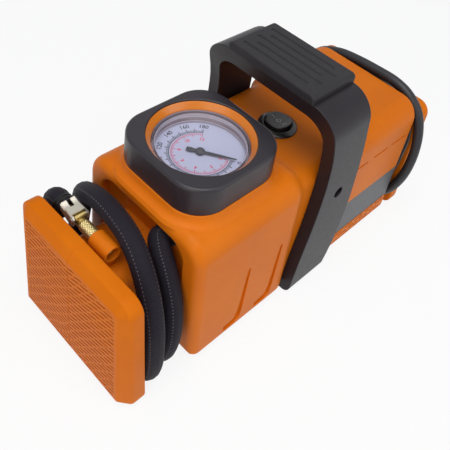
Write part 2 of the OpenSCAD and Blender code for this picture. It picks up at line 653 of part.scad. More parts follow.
// ---- Pump ----
ring_out = bore_r + 10.7;
module pump_frame() color("lightgray") in_frame()
    difference() {
        union() {
            along_x(frame_x, frame_x + frame_thick)
                polygon(rounded([[-ring_out - 1, body_floor + wall], [ring_out + 1, body_floor + wall],
                                 [ring_out + 1, shaft_z + motor_r + 3], [-ring_out - 1, shaft_z + motor_r + 3]],
                                [5, 5, 5, 5]));
            for (s = [-1, 1])
                translate([cylinder_x - 14, s < 0 ? -ring_out : ring_out - 5, cylinder_base])
                    cube([frame_x - cylinder_x + 15, 5, 6]);
            translate([cylinder_x - 20, -ring_out, cylinder_base]) cube([6.5, 2 * ring_out, 6]);
            translate([cylinder_x, 0, cylinder_base]) cylinder(h = 6, r = ring_out - 0.5);
        }
        translate([cylinder_x, 0, cylinder_base - 1]) cylinder(h = 8, r = cyl_r + seat_gap);
        translate([gear_x - 1.5, -19.5, cylinder_base - 1]) cube([gear_thick + 5, 39, 8]);
        rod_x(frame_x - 1, frame_x + frame_thick + 1, bearing_r, 0, crank_z);
        rod_x(frame_x - 1, frame_x + frame_thick + 1, 9, 0, shaft_z);
        for (a = [0, 180])
            rod_x(frame_x - 1, frame_x + frame_thick + 1, 1.6, 14 * cos(a), shaft_z);
    }
cyl_r = bore_r + 2.2;
module cylinder_node() color("silver") in_frame()
    translate([cylinder_x, 0, 0])
    difference() {
        union() {
            translate([0, 0, cylinder_base]) cylinder(h = cylinder_top - cylinder_base, r = cyl_r);
            translate([0, 0, cylinder_base + 6]) cylinder(h = 2, r = cyl_r + 2);
            for (z = [cylinder_base + 14:5:cylinder_top - 6])
                translate([0, 0, z]) cylinder(h = 1.6, r = cyl_r + 1.6);
        }
        translate([0, 0, cylinder_base - 1]) cylinder(h = cylinder_top - cylinder_base + 2, r = bore_r);
    }
head_screw_r = 1.4;
module cylinder_head() color("silver") in_frame()
    difference() {
        union() {
            translate([cylinder_x, 0, cylinder_top]) cylinder(h = head_top - cylinder_top, r = cyl_r + 1.6);
            rod_x(manifold_rear, cylinder_x, 3.2, 0, cylinder_top + 4);
        }
        rod_x(manifold_rear - 1, cylinder_x, 1.5, 0, cylinder_top + 4);
        translate([cylinder_x, 0, cylinder_top - 1]) cylinder(h = 5, r = 1.5);
        for (a = [45:90:315])
            translate([cylinder_x + 13 * cos(a), 13 * sin(a), cylinder_top + 2])
                cylinder(h = 9, r = head_screw_r);
    }
module head_screws() color("gray") in_frame()
    for (a = [45:90:315])
        translate([cylinder_x + 13 * cos(a), 13 * sin(a), 0]) {
            translate([0, 0, cylinder_top + 2.2])
                cylinder(h = head_top - cylinder_top - 2, r = head_screw_r - running_gap);
            translate([0, 0, head_top]) cylinder(h = 1.6, r = 2.5);
        }
manifold_front = 78;
manifold_rear = 86;
manifold_low = 90;
manifold_top = 102;
stem_x = 82;
stem_y = 14;
module air_manifold() color("goldenrod") in_frame()
    difference() {
        translate([manifold_front, -24, manifold_low])
            cube([manifold_rear - manifold_front, 47, manifold_top - manifold_low]);
        translate([stem_x, -22, 95]) rotate([-90, 0, 0]) cylinder(h = 43, r = 1.5);
    }
piston_low = wrist_z - 6;
module piston() color("lightgray") in_frame()
    translate([cylinder_x, 0, 0])
    difference() {
        translate([0, 0, piston_low]) cylinder(h = piston_top - piston_low, r = piston_d / 2);
        translate([0, 0, piston_low - 1])
            cylinder(h = piston_top - 3.6 - piston_low + 1, r = piston_d / 2 - 1.6);
        difference() {
            translate([0, 0, piston_top - 2.8]) cylinder(h = 1.8, r = piston_d / 2 + 1);
            translate([0, 0, piston_top - 4]) cylinder(h = 4, r = piston_d / 2 - 1.1);
        }
    }
module piston_ring() color("black") in_frame()
    translate([cylinder_x, 0, piston_top - 2.8])
    difference() {
        cylinder(h = 1.8, r = piston_d / 2 + 0.2);
        translate([0, 0, -1]) cylinder(h = 4, r = piston_d / 2 - 1.1);
    }
module con_rod() color("lightgray") in_frame()
    translate([cylinder_x, 0, 0])
    difference() {
        union() {
            rod_x(-3.5, 3.5, 6.5, 0, crank_z + crank_r);
            rod_x(-2.5, 2.5, 4, 0, wrist_z);
            translate([-2, -2.5, crank_z + crank_r + 3]) cube([4, 5, rod_length - 5]);
        }
        rod_x(-5, 5, crank_pin_r + running_gap, 0, crank_z + crank_r);
        rod_x(-5, 5, 2, 0, wrist_z);
    }
module wrist_pin() color("silver") in_frame()
    translate([cylinder_x, 0, 0]) rod_x(-4.5, 4.5, 2 - running_gap, 0, wrist_z);
// Trapezoid teeth round a blank
module gear_blank(teeth, r, a, b, y, z, turn = 0)
    translate([a, y, z]) rotate([0, 90, 0]) rotate([0, 0, turn]) linear_extrude(b - a)
    polygon([for (i = [0:teeth - 1]) for (s = [[-0.34, -1.1], [-0.1, 0.8], [0.1, 0.8], [0.34, -1.1]])
             let (t = 360 * (i + s[0]) / teeth, q = r + s[1] * gear_module) [q * cos(t), q * sin(t)]]);
module drive_gear() color([0.85, 0.85, 0.8]) in_frame() {
    gear_blank(gear_teeth, gear_r, gear_x, gear_x + gear_thick, 0, crank_z);
    rod_x(crank_disc_x, gear_x + eps, 11, 0, crank_z);
    rod_x(cylinder_x - 5, crank_disc_x + eps, crank_pin_r, 0, crank_z + crank_r);
    rod_x(gear_x + gear_thick - eps, frame_x + frame_thick + 3, axle_r, 0, crank_z);
}
bearing_r = 8;
module gear_bearing() color("silver") in_frame()
    difference() {
        rod_x(frame_x - 0.5, frame_x + frame_thick, bearing_r - running_gap, 0, crank_z);
        rod_x(frame_x - 2, frame_x + frame_thick + 1, axle_r + running_gap, 0, crank_z);
    }

// ---- Motor ----
module motor_can() color("gray") in_frame()
    difference() {
        union() {
            rod_x(motor_x, motor_x + motor_length, motor_r, 0, shaft_z);
            rod_x(frame_x + 0.4, motor_x + eps, 9 - seat_gap, 0, shaft_z);
        }
        rod_x(motor_x + 2, motor_x + motor_length + 1, motor_r - 1.6, 0, shaft_z);
        rod_x(frame_x - 1, motor_x + 3, shaft_r + running_gap, 0, shaft_z);
        for (a = [0, 180]) rod_x(motor_x - 1, motor_x + 1.5, 1.6, 14 * cos(a), shaft_z);
    }
module motor_cap() color([0.15, 0.15, 0.16]) in_frame()
    difference() {
        union() {
            rod_x(motor_x + motor_length, motor_x + motor_length + 3, motor_r - 0.4, 0, shaft_z);
            rod_x(motor_x + motor_length - 3, motor_x + motor_length + eps, motor_r - 1.6 - seat_gap,
                  0, shaft_z);
        }
        rod_x(motor_x + motor_length - 4, motor_x + motor_length + 4, shaft_r + running_gap, 0, shaft_z);
    }
module motor_shaft() color("silver") in_frame() {
    rod_x(gear_x - 1, motor_x + motor_length + 12, shaft_r, 0, shaft_z);
    rod_x(motor_x + 8, motor_x + motor_length - 8, motor_r - 6, 0, shaft_z);
}
module pinion() color("gold") in_frame()
    difference() {
        gear_blank(pinion_teeth, pinion_r, gear_x - 0.5, gear_x + gear_thick + 1, 0, shaft_z,
                   180 / pinion_teeth);
        rod_x(gear_x - 2, gear_x + gear_thick + 3, shaft_r, 0, shaft_z);
    }
fan_x = motor_x + motor_length + 5;
module fan() color("white") in_frame()
    difference() {
        union() {
            rod_x(fan_x, fan_x + 6, 6, 0, shaft_z);
            for (a = [0:60:300])
                translate([fan_x, 0, shaft_z]) rotate([a, 0, 0]) translate([0, 5, 0]) rotate([0, 35, 0])
                    translate([0, 0, -0.7]) cube([8, 15, 1.4]);
        }
        rod_x(fan_x - 5, fan_x + 12, shaft_r, 0, shaft_z);
    }
module motor_screws() color("gray") in_frame()
    for (a = [0, 180]) {
        rod_x(frame_x - 0.2, motor_x + 1.4, 1.6 - running_gap, 14 * cos(a), shaft_z);
        rod_x(frame_x - 2, frame_x, 2.8, 14 * cos(a), shaft_z);
    }

// ---- Power board: it lies on four posts that stand on the shells' floor ----
board_front = fan_x + 10;
board_length = rear_wall_x - wall - 14 - board_front;
board_half = 36;
board_z = body_floor + wall + 5;
post_x = [board_front + 4, board_front + board_length - 4];
post_y = [-board_half + 4, board_half - 4];
module board_posts()
    for (x = post_x, y = post_y)
        translate([x, y, body_floor + 1]) cylinder(h = board_z - body_floor - 1, r = 3);
module board_holes()
    for (x = post_x, y = post_y)
        translate([x, y, board_z - 4]) cylinder(h = 8, r = screw_r);
module power_board() color("darkgreen") in_frame()
    difference() {
        translate([board_front, -board_half, board_z]) cube([board_length, 2 * board_half, 1.6]);
        for (x = post_x, y = post_y)
            translate([x, y, board_z - 1]) cylinder(h = 4, r = screw_r + seat_gap);
    }
module transformer() color("peru") in_frame() {
    translate([board_front + 3, -24, board_z + 1.6]) cube([board_length - 7, 34, 30]);
    translate([board_front + 6, -28, board_z + 5]) cube([board_length - 13, 42, 22]);
}
module capacitor() color("navy") in_frame()
    translate([board_front + 16, 24, board_z + 1.6]) cylinder(h = 26, r = 7);
module board_screws() color("silver") in_frame()
    for (x = post_x, y = post_y)
        translate([x, y, 0]) {
            translate([0, 0, board_z - 3.6]) cylinder(h = 5.4, r = screw_r - running_gap);
            translate([0, 0, board_z + 1.6]) cylinder(h = 1.6, r = 2.6);
        }

near_shell();
far_shell();
shell_screws();
label_plate();
chuck_holder();
handle_frame();
grip_pad();
handle_screws();
gauge_bezel();
gauge_ring();
gauge_lens();
gauge_dial();
gauge_needle();
gauge_can();
switch_body();
switch_rocker();
hose();
hose_nipple();
hose_ferrule();
chuck_body();
chuck_lever();
chuck_pin();
lead_coil();
lead_loop();
lead_boot();
plug_body();
plug_tip();
plug_springs();
pump_frame();
cylinder_node();  // cylinder
cylinder_head();
head_screws();
air_manifold();
piston();
piston_ring();
con_rod();
wrist_pin();
drive_gear();
gear_bearing();
motor_can();
motor_cap();
motor_shaft();
pinion();
fan();
motor_screws();
power_board();
transformer();
capacitor();
board_screws();
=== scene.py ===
"""Portable tire inflator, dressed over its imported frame: stage, hose, power lead, orange shells,
handle, gauge, switch, chuck and works. Pieces are drawn in bench millimetres, counted from the front
plate, and stood in the frame in metres."""
import cmath
import math

import bmesh
import bpy
from mathutils import Matrix, Vector


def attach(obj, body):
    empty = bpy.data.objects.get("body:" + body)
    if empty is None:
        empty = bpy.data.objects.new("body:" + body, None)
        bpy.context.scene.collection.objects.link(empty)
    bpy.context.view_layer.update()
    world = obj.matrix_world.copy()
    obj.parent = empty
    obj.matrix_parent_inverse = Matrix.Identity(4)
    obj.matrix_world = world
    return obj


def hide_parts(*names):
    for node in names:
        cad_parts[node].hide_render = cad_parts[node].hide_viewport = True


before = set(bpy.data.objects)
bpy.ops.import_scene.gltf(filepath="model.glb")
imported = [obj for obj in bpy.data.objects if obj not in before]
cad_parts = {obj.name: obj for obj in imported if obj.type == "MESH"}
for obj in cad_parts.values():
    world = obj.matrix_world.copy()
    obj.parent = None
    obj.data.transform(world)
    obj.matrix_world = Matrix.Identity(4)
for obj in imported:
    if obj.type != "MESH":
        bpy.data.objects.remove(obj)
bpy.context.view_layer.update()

# ---- Stage ----
# A pale floor under an overcast sky, with a large soft window overhead and weaker ones before the
# inflator and on its near side. The camera stands above its front left corner.
scene = bpy.context.scene
scene.view_settings.view_transform = "Standard"


def stand(name, data):
    """A new object in the scene with this data."""
    made = bpy.data.objects.new(name, data)
    scene.collection.objects.link(made)
    return made


def to_data(mesh):
    data = bpy.data.meshes.new("mesh")
    mesh.to_mesh(data)
    mesh.free()
    return data


camera_data = bpy.data.cameras.new("camera")
camera_data.lens = 46.64
camera_data.sensor_width = 36
camera_data.shift_y = -0.0844
camera = stand("camera", camera_data)
camera.location = (-0.24595, -0.17181, 0.36370)
camera.rotation_euler = [math.radians(a) for a in (43.68375, -7.63508, -44.34824)]
scene.camera = camera


class Wire:
    """One output of a shader tree. Sums, products and comparisons of wires add their Math nodes."""

    def __init__(self, owner, socket):
        self.owner, self.socket = owner, socket

    def math(self, operation, *others):
        return self.owner.node("Math", dict(enumerate((self, *others))), operation=operation)

    def __add__(self, other):
        return self.math("ADD", other)

    def __sub__(self, other):
        return self.math("SUBTRACT", other)

    def __rsub__(self, other):
        return self.owner.node("Math", {0: other, 1: self}, operation="SUBTRACT")

    def __mul__(self, other):
        return self.math("MULTIPLY", other)

    def __truediv__(self, other):
        return self.math("DIVIDE", other)

    def __lt__(self, other):
        return self.math("LESS_THAN", other)

    def __gt__(self, other):
        return self.math("GREATER_THAN", other)

    __radd__ = __add__
    __rmul__ = __mul__


class Shading:
    """The node tree of a material or of the sky, with the one method that adds any other node."""

    def __init__(self, holder):
        holder.use_nodes = True
        self.tree = holder.node_tree

    def node(self, kind, inputs, output=0, stops=(), **settings):
        made = self.tree.nodes.new("ShaderNode" + kind)
        for key, value in settings.items():
            setattr(made, key, value)
        if stops:
            elements = made.color_ramp.elements
            while len(elements) < len(stops):
                elements.new(0.5)
            for element, (place, level) in zip(elements, stops):
                element.position, element.color = place, (level, level, level, 1)
        for key, value in inputs.items():
            self.feed(made.inputs[key], value)
        return Wire(self, made.outputs[output])

    def feed(self, socket, value):
        if isinstance(value, Wire):
            self.tree.links.new(value.socket, socket)
        else:
            socket.default_value = value

    def cleared(self, lit, plain, share, end):
        """Gives camera, mirrored and clear rays this share of the plain shader, others the lit one."""
        seen = ("Camera", "Glossy", "Transmission")
        rays = sum(self.node("LightPath", {}, f"Is {kind} Ray") for kind in seen)
        inputs = {0: rays.math("MINIMUM", 1.0) * share, 1: Wire(self, lit.outputs[0]), 2: plain}
        self.feed(self.tree.nodes[end].inputs[0], self.node("MixShader", inputs))


class Finish(Shading):
    """A material: its shader with its fixed values, and the patterns that are wired to its sockets."""

    def __init__(self, name, colour, **fixed):
        self.material = bpy.data.materials.new(name)
        super().__init__(self.material)
        self.shader = self.tree.nodes["Principled BSDF"]
        for key, value in dict(fixed, Base_Color=(*colour, 1)).items():
            self.shader.inputs[key.replace("_", " ")].default_value = value

    def place(self, scale=(1, 1, 1), shift=(0, 0, 0)):
        """Object coordinates, in metres, with the pattern stretched or shifted."""
        here = self.node("TexCoord", {}, "Object")
        return self.node("Mapping", {"Vector": here, "Scale": scale, "Location": shift})

    def noise(self, size, detail=2, roughness=0.5):
        """Noise with grains of this size, in metres."""
        inputs = {"Vector": self.place(), "Scale": 1 / size, "Detail": detail, "Roughness": roughness}
        return self.node("TexNoise", inputs)

    def ramp(self, factor, *stops):
        """Grey levels that run between stops of (place, level)."""
        return self.node("ValToRGB", {0: factor}, stops=stops)

    def axes(self, where=None):
        where = where or self.place()
        return [self.node("SeparateXYZ", {0: where}, k) for k in range(3)]

    def mix(self, factor, first, second):
        first, second = [v if isinstance(v, Wire) else (*v, 1) for v in (first, second)]
        return self.node("Mix", {0: factor, 6: first, 7: second}, 2, data_type="RGBA")

    def bump(self, height, depth, under=None, strength=1.0):
        inputs = {"Height": height, "Distance": depth, "Strength": strength}
        if under:
            inputs["Normal"] = under
        return self.node("Bump", inputs)

    def dress(self, **wires):
        for key, wire in wires.items():
            self.feed(self.shader.inputs[key.replace("_", " ")], wire)


sky = bpy.data.worlds.new("sky")
scene.world = sky
air = Shading(sky)
background = air.tree.nodes["Background"]
background.inputs[0].default_value = (0.86, 0.93, 1.0, 1)
background.inputs[1].default_value = 0.25
air.cleared(background, air.node("Background", {1: 1.0}), 1.0, "World Output")


def window(name, place, aim, size, power, tint=(1, 1, 1)):
    """A square soft light at a place, turned to a point it aims at."""
    data = bpy.data.lights.new(name, "AREA")
    data.size, data.energy, data.color = size, power, tint
    lamp = stand(name, data)
    lamp.location = place
    lamp.rotation_euler = (Vector(aim) - Vector(place)).to_track_quat("-Z", "Y").to_euler()


window("window_top", (-0.25, -0.15, 1.25), (0, 0, 0.08), 0.9, 9.6)
window("window_front", (-0.95, -0.35, 0.6), (-0.05, 0, 0.06), 0.8, 3.2, (1.0, 0.94, 0.86))
window("window_near", (0.3, -1.05, 0.6), (0.02, 0, 0.06), 0.8, 3.2, (0.95, 0.97, 1.0))

floor_mesh = bmesh.new()
bmesh.ops.create_grid(floor_mesh, x_segments=1, y_segments=1, size=3)
floor = stand("floor", to_data(floor_mesh))
paper = Finish("paper", (0.86, 0.86, 0.86), Roughness=0.9)
paper.cleared(paper.shader, paper.node("Emission", {}), 0.86, "Material Output")
floor.data.materials.append(paper.material)

# ---- Air hose ----
# A rubber hose in a black braided sleeve with pale tracer threads, wound two turns round the front
# neck. It leaves the nipple in the body's front wall and ends crimped on the chuck's tail.
BENCH = Matrix.Translation((-0.154, 0, 0)) @ Matrix.Scale(0.001, 4)
HOSE_EXIT = (60.4, -18, 96)


def smooth_path(points, per):
    """A smooth route through the set points, with this many steps between each pair, in bench mm."""
    spots = [Vector(p) for p in points]
    spots = [spots[0] * 2 - spots[1], *spots, spots[-1] * 2 - spots[-2]]
    route = []
    for a, b, c, d in zip(spots, spots[1:], spots[2:], spots[3:]):
        for k in range(per):
            t = k / per
            route.append(0.5 * (2 * b + (c - a) * t + (2 * a - 5 * b + 4 * c - d) * t * t
                                + (3 * b - a - 3 * c + d) * t ** 3))
    return route + [spots[-2]]


def settle(mesh, name, finish, replaced=(), body="housing", sharp=32, soft=None):
    """Stands a finished mesh, drawn in bench mm, in the frame, on its body and finish.
    Soft is the (width, segments, least angle) of the rounding that a mould leaves on its edges."""
    data = to_data(mesh)
    data.transform(BENCH)
    data.name = name
    data.materials.append(finish.material)
    data.polygons.foreach_set("use_smooth", [True] * len(data.polygons))
    if sharp:
        data.set_sharp_from_angle(angle=math.radians(sharp))
    piece = stand(name, data)
    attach(piece, body)
    if replaced:
        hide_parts(*replaced)
    if soft:
        rounding = piece.modifiers.new("soft_edges", "BEVEL")
        rounding.width, rounding.segments, angle = soft
        rounding.limit_method, rounding.angle_limit = "ANGLE", math.radians(angle)
        piece.modifiers.new("even_shading", "WEIGHTED_NORMAL").keep_sharp = True
    return piece


def outward(mesh):
    """The mesh with its normals facing out."""
    bmesh.ops.recalc_face_normals(mesh, faces=mesh.faces)
    return mesh


def melted(*holders):
    """The evaluated shape of the first object as a free mesh. All the objects given are removed."""
    bpy.context.view_layer.update()
    shape = holders[0].evaluated_get(bpy.context.evaluated_depsgraph_get())
    data = bpy.data.meshes.new_from_object(shape)
    for holder in holders:
        bpy.data.objects.remove(holder)
    mesh = bmesh.new()
    mesh.from_mesh(data)
    bpy.data.meshes.remove(data)
    return mesh


def tube(route, radius, sides):
    """A round tube along a route, closed at both ends, with its UV along and around."""
    curve = bpy.data.curves.new("route", "CURVE")
    curve.dimensions = "3D"
    curve.bevel_depth = radius
    curve.bevel_resolution = sides // 4 - 1
    curve.use_fill_caps = True
    line = curve.splines.new("POLY")
    line.points.add(len(route) - 1)
    for point, spot in zip(line.points, route):
        point.co = (*spot, 1)
    mesh = melted(stand("route", curve))
    bmesh.ops.remove_doubles(mesh, verts=mesh.verts, dist=0.001)
    return outward(mesh)


def metres(route):
    return [BENCH @ spot for spot in route]


def run_length(route):
    return sum((b - a).length for a, b in zip(route, route[1:])) / 1000


hose_route = smooth_path([
    HOSE_EXIT, (57.6, -18, 96), (54.8, -18, 96), (51.4, -22.8, 94.2), (49, -30.2, 87.6),
    (47.8, -36.6, 77), (46.4, -42.4, 63), (44, -46.6, 48), (41.6, -48, 33), (39.8, -46, 20),
    (38.9, -38.4, 10.4), (38.6, -25, 7), (38.6, -6, 6.9), (38.6, 12, 6.9), (38.9, 29, 9),
    (39.8, 41, 18), (41.6, 48, 33), (44.6, 51, 50), (47, 50.5, 66), (46.6, 47, 80),
    (43.8, 39.6, 92.4), (41.3, 29, 101.2), (39.8, 16, 106.8), (38.6, 2, 107.8), (37.2, -12, 105.2),
    (34.9, -24, 99), (32.2, -34, 90), (29.7, -42.2, 78), (27.6, -48, 64), (26, -51, 49),
    (25.2, -52, 34), (24.8, -50, 20), (24.8, -42.8, 10.1), (24.8, -30, 7), (24.8, -12, 6.9),
    (24.8, 5, 6.9), (24.8, 22, 6.9), (24.8, 36, 9.6), (25.2, 45.5, 19), (25.8, 50.5, 33),
    (26.4, 52.4, 49), (26.7, 52.4, 64), (26.8, 51.2, 76), (26.7, 49, 85.5), (26.6, 46, 92.4),
    (26.5, 41.8, 96.5), (26.5, 38, 96.5)], 6)
hose_length = run_length(hose_route)
THREADS, PICK_PITCH, STITCH_PITCH = 34, 0.0024, 0.0021
braid = Finish("braided_sleeve", (0.018, 0.016, 0.024), Specular_IOR_Level=0.18)
along, around, _ = braid.axes(braid.node("UVMap", {}))
turns = around * THREADS
picks = along * (hose_length / PICK_PITCH)
lay_a = (turns + picks) * (2 * math.pi)
lay_b = (turns - picks) * (2 * math.pi)
weave = lay_a.math("SINE") * lay_b.math("SINE") * 0.5 + 0.5
stitch = (along * (hose_length / STITCH_PITCH)).math("FRACT") < 0.45
tracer = sum((around - seat).math("ABSOLUTE") < 0.009 for seat in (0.2, 0.45, 0.7, 0.95)) * stitch
ground = braid.mix(weave, (0.003, 0.0024, 0.005), (0.016, 0.013, 0.022))
ground = braid.mix(braid.noise(0.02, 3) * 0.3, ground, (0.022, 0.018, 0.028))
braid.dress(
    Base_Color=braid.mix(tracer * 0.42, ground, (0.20, 0.18, 0.20)),
    Roughness=weave * 0.2 + 0.5,
    Normal=braid.bump(weave + tracer * 0.5, 0.0003, strength=0.8),
)
hose = settle(tube(hose_route, 6.75, 28), "air_hose", braid, ["hose"], sharp=60)

# ---- Power lead ----
# A smooth black rubber lead. It leaves the rear neck by a tapered strain relief and winds round it
# in three layers. Its last two turns lie looser outside them, down to the plug.
LEAD_EXIT = (278.2, 20.3, 57)
CORE_HALF, CORE_LOW, CORE_HIGH = 20, 36, 73.5
LAYER = 7.75
lead_spots = [LEAD_EXIT, (278.2, 20.3, 62.7), (277.7, 18.2, 70.7), (277, 12.3, 76.6), (276, 4.3, 78.7)]


def wound(layer, turn):
    """A spot on the rounded square that a turn of this layer follows, turn 0 to 1 from the far side."""
    reach, corner = 5.2 + LAYER * layer, 18 + LAYER * layer
    half, low, high = CORE_HALF + reach, CORE_LOW - reach, CORE_HIGH + reach
    flat, rise = 2 * (half - corner), high - low - 2 * corner
    bend, middle = corner * math.pi / 2, (low + high) / 2
    run = turn * (2 * flat + 2 * rise + 4 * bend) - rise / 2
    if run < 0:
        return half, middle + rise / 2 + run
    centre, way = complex(half - corner, middle + rise / 2), 1
    for straight in (flat, rise, flat, rise):
        if run < bend:
            spot = centre + way * cmath.rect(corner, run / corner)
            return spot.real, spot.imag
        run, way = run - bend, way * 1j
        if run < straight:
            spot = centre + way * (corner + 1j * run)
            return spot.real, spot.imag
        run, centre = run - straight, centre + way * 1j * straight
    return half, middle


columns = [(270.4, 0), (278.2, 0), (286, 0), (286, 1), (278.2, 1), (270.4, 1), (270.4, 2), (278.2, 2),
           (286, 2)]
for number, ((column, layer), (next_column, next_layer)) in enumerate(zip(columns, columns[1:])):
    for turn in (step / 20 for step in range(20)):
        if number == 0 and turn < 0.28 or number == 7 and turn > 0.86:
            continue
        shift = min(1, max(0, (turn - 0.76) / 0.24))
        shift = shift * shift * (3 - 2 * shift)
        y, z = wound(layer + (next_layer - layer) * shift, turn)
        x = column + (next_column - column) * shift
        if number == 0 and turn < 0.4:
            x = 278.2 - 7.8 * (turn / 0.4) ** 2
        lead_spots.append((x, y, z))
lead_spots += [(286, y, z) for y, z in (
    (40, 29.5), (47.6, 38), (50.6, 47), (51.2, 57), (50, 68.8), (46, 82.5), (36, 94.9), (22, 102.1),
    (4, 104.4), (-14, 104.9), (-30, 101.3), (-42.4, 91.5), (-48.8, 76.5), (-49.8, 58.6), (-49, 40),
    (-42, 24), (-29, 16), (-10, 13.8), (12, 13.6), (33, 14.2), (48, 19), (57, 29), (61.4, 43),
    (62, 58.6), (61, 74), (57, 87.6), (47.4, 101.5), (31, 109.6), (12, 112.6), (-6, 113.7),
    (-22, 113.8), (-36, 110.4), (-48.4, 101.6), (-56, 88.4), (-60.6, 71.2), (-62, 51.7), (-60, 34),
    (-54, 18), (-43, 8.5), (-26, 5), (-6, 4.8), (14, 4.8), (34, 4.8))]
lead_spots += [(285.8, 49, 5), (284, 60.4, 6.2), (278, 67.8, 8.4), (271, 70, 10.6), (266, 70, 11),
               (258, 70, 11)]
lead_route = smooth_path(lead_spots, 4)
rubber = Finish("lead_rubber", (0.014, 0.014, 0.017), Specular_IOR_Level=0.4)
scuff = rubber.noise(0.012, 4, 0.6)
rubber.dress(
    Base_Color=rubber.mix(scuff, (0.010, 0.010, 0.013), (0.024, 0.023, 0.028)),
    Roughness=rubber.ramp(scuff, (0.3, 0.34), (0.75, 0.56)),
    Normal=rubber.bump(rubber.noise(0.0012, 3), 0.00006),
)
lead = settle(tube(lead_route, 4, 16), "power_lead", rubber, ["lead_coil", "lead_loop"],
              sharp=60)

# ---- Orange shells: end plates, necks and body ----
# Two halves moulded in orange plastic and screwed together on the middle plane. Each is drawn as
# rounded cross-sections bridged along the inflator, hollowed, cut for the fittings and split in two.
SIDES = ((-1, "near"), (1, "far"))
PLATES = {"front": (0, 1, 57, 103), "rear": (308, -1, 59, 104)}
PLATE_LEAN, PLATE_FOOT = 0.048, 4.9
DRAFT = 0.06
BODY = dict(half=58, low=3.5, high=113, r_low=4, r_high=16)
GAUGE_X, SWITCH_X = 99.6, 174.8
SEAM_LIP = 0.28
MOUND_HALF, MOUND_CORNER = 39, 22


def bevel(mesh, geom, offset, segments, affect="VERTICES", **more):
    bmesh.ops.bevel(mesh, geom=geom, offset=offset, offset_type="OFFSET", segments=segments,
                    profile=0.5, affect=affect, material=-1, **more)


def rounded(mesh, spots, segments, *rounds):
    """A closed loop of edges by way of four spots. Each round is (first, past the last, radius)."""
    corners = [mesh.verts.new(spot) for spot in spots]
    mesh.faces.new(corners)
    for first, past, radius in rounds:
        bevel(mesh, corners[first:past], radius, segments)
    face = next(iter(mesh.faces))
    edges = list(face.edges)
    bmesh.ops.delete(mesh, geom=[face], context="FACES_ONLY")
    return edges


def ring(mesh, x, half, low, high, r_low, r_high, inset=0.0, segments=7, lean=0.0, draft=DRAFT):
    """A rounded four-sided cross-section with sides that lean inwards, as a loop of edges."""
    half, low, high = half - inset, low + inset, high - inset
    spots = [(x, -half + draft * low, low), (x, half - draft * low, low),
             (x, half - draft * high, high), (x, -half + draft * high, high)]
    edges = rounded(mesh, spots, segments, (0, 2, max(r_low - inset, 0.8)), (2, 4, max(r_high - inset, 0.8)))
    for vert in {v for e in edges for v in e.verts}:
        vert.co.x += lean * (vert.co.z - PLATE_FOOT)
    return edges


def square(mesh, z, half, corner, segments=12, x=GAUGE_X):
    """A level rounded square round the gauge's axis, or another, as a loop of edges."""
    spots = [(x + sx * half, sy * half, z) for sx, sy in ((-1, -1), (1, -1), (1, 1), (-1, 1))]
    return rounded(mesh, spots, segments, (0, 4, corner))


def bridged(mesh, loops, closed=False):
    """Skins a row of loops, and closes both ends unless the row runs round to its start."""
    for first, second in zip(loops, loops[1:] + (loops[:1] if closed else [])):
        bmesh.ops.bridge_loops(mesh, edges=first + second)
    if not closed:
        for loop in (loops[0], loops[-1]):
            bmesh.ops.contextual_create(mesh, geom=loop)
    return outward(mesh)


def lofted(stations, *shape, **more):
    """A closed solid through stations of (x, inset), with the corner radii shrunk by the inset."""
    mesh = bmesh.new()
    return bridged(mesh, [ring(mesh, x, *shape, inset=inset, **more) for x, inset in stations])


def quarter(x, radius, way, steps=5):
    """Stations of a rounded rim: way 1 opens from x, way -1 closes up to x."""
    angles = [math.pi / 2 * k / steps for k in range(steps + 1)]
    rim = [(x + way * radius * (1 - math.cos(a)), radius * (1 - math.sin(a))) for a in angles]
    return rim if way > 0 else rim[::-1]


def carved(mesh, *cutters):
    """The solid with the cutters taken out of it."""
    solid, *tools = [stand("solid", to_data(part)) for part in (mesh, *cutters)]
    for tool in tools:
        cut = solid.modifiers.new("cut", "BOOLEAN")
        cut.operation, cut.solver, cut.object, cut.use_self = "DIFFERENCE", "EXACT", tool, True
    return melted(solid, *tools)


def block(mesh, start, end):
    """A plain box between two corners. Gives its vertices."""
    made = bmesh.ops.create_cube(mesh, size=1)["verts"]
    bmesh.ops.scale(mesh, vec=[abs(b - a) for a, b in zip(start, end)], verts=made)
    bmesh.ops.translate(mesh, vec=[(a + b) / 2 for a, b in zip(start, end)], verts=made)
    return made


def rod(mesh, radius, start, end, sides=40):
    """A plain rod between two spots, as a cutter."""
    start, end = Vector(start), Vector(end)
    turn = (end - start).to_track_quat("Z", "Y").to_matrix().to_4x4()
    matrix = Matrix.Translation((start + end) / 2) @ turn
    bmesh.ops.create_cone(mesh, cap_ends=True, segments=sides, radius1=radius, radius2=radius,
                          depth=(end - start).length, matrix=matrix)


def half_of(mesh, side):
    """One half of a solid: cut on the middle plane, capped, with a fine chamfer along the seam."""
    bmesh.ops.bisect_plane(mesh, geom=mesh.verts[:] + mesh.edges[:] + mesh.faces[:], dist=0.0005,
                           plane_co=(0, 0, 0), plane_no=(0, side, 0), clear_inner=True)
    rim = [e for e in mesh.edges if e.is_boundary]
    caps = bmesh.ops.contextual_create(mesh, geom=rim)["faces"]
    bevel(outward(mesh), list({e for f in caps for e in f.edges}), SEAM_LIP, 1, "EDGES", clamp_overlap=True)
    return mesh


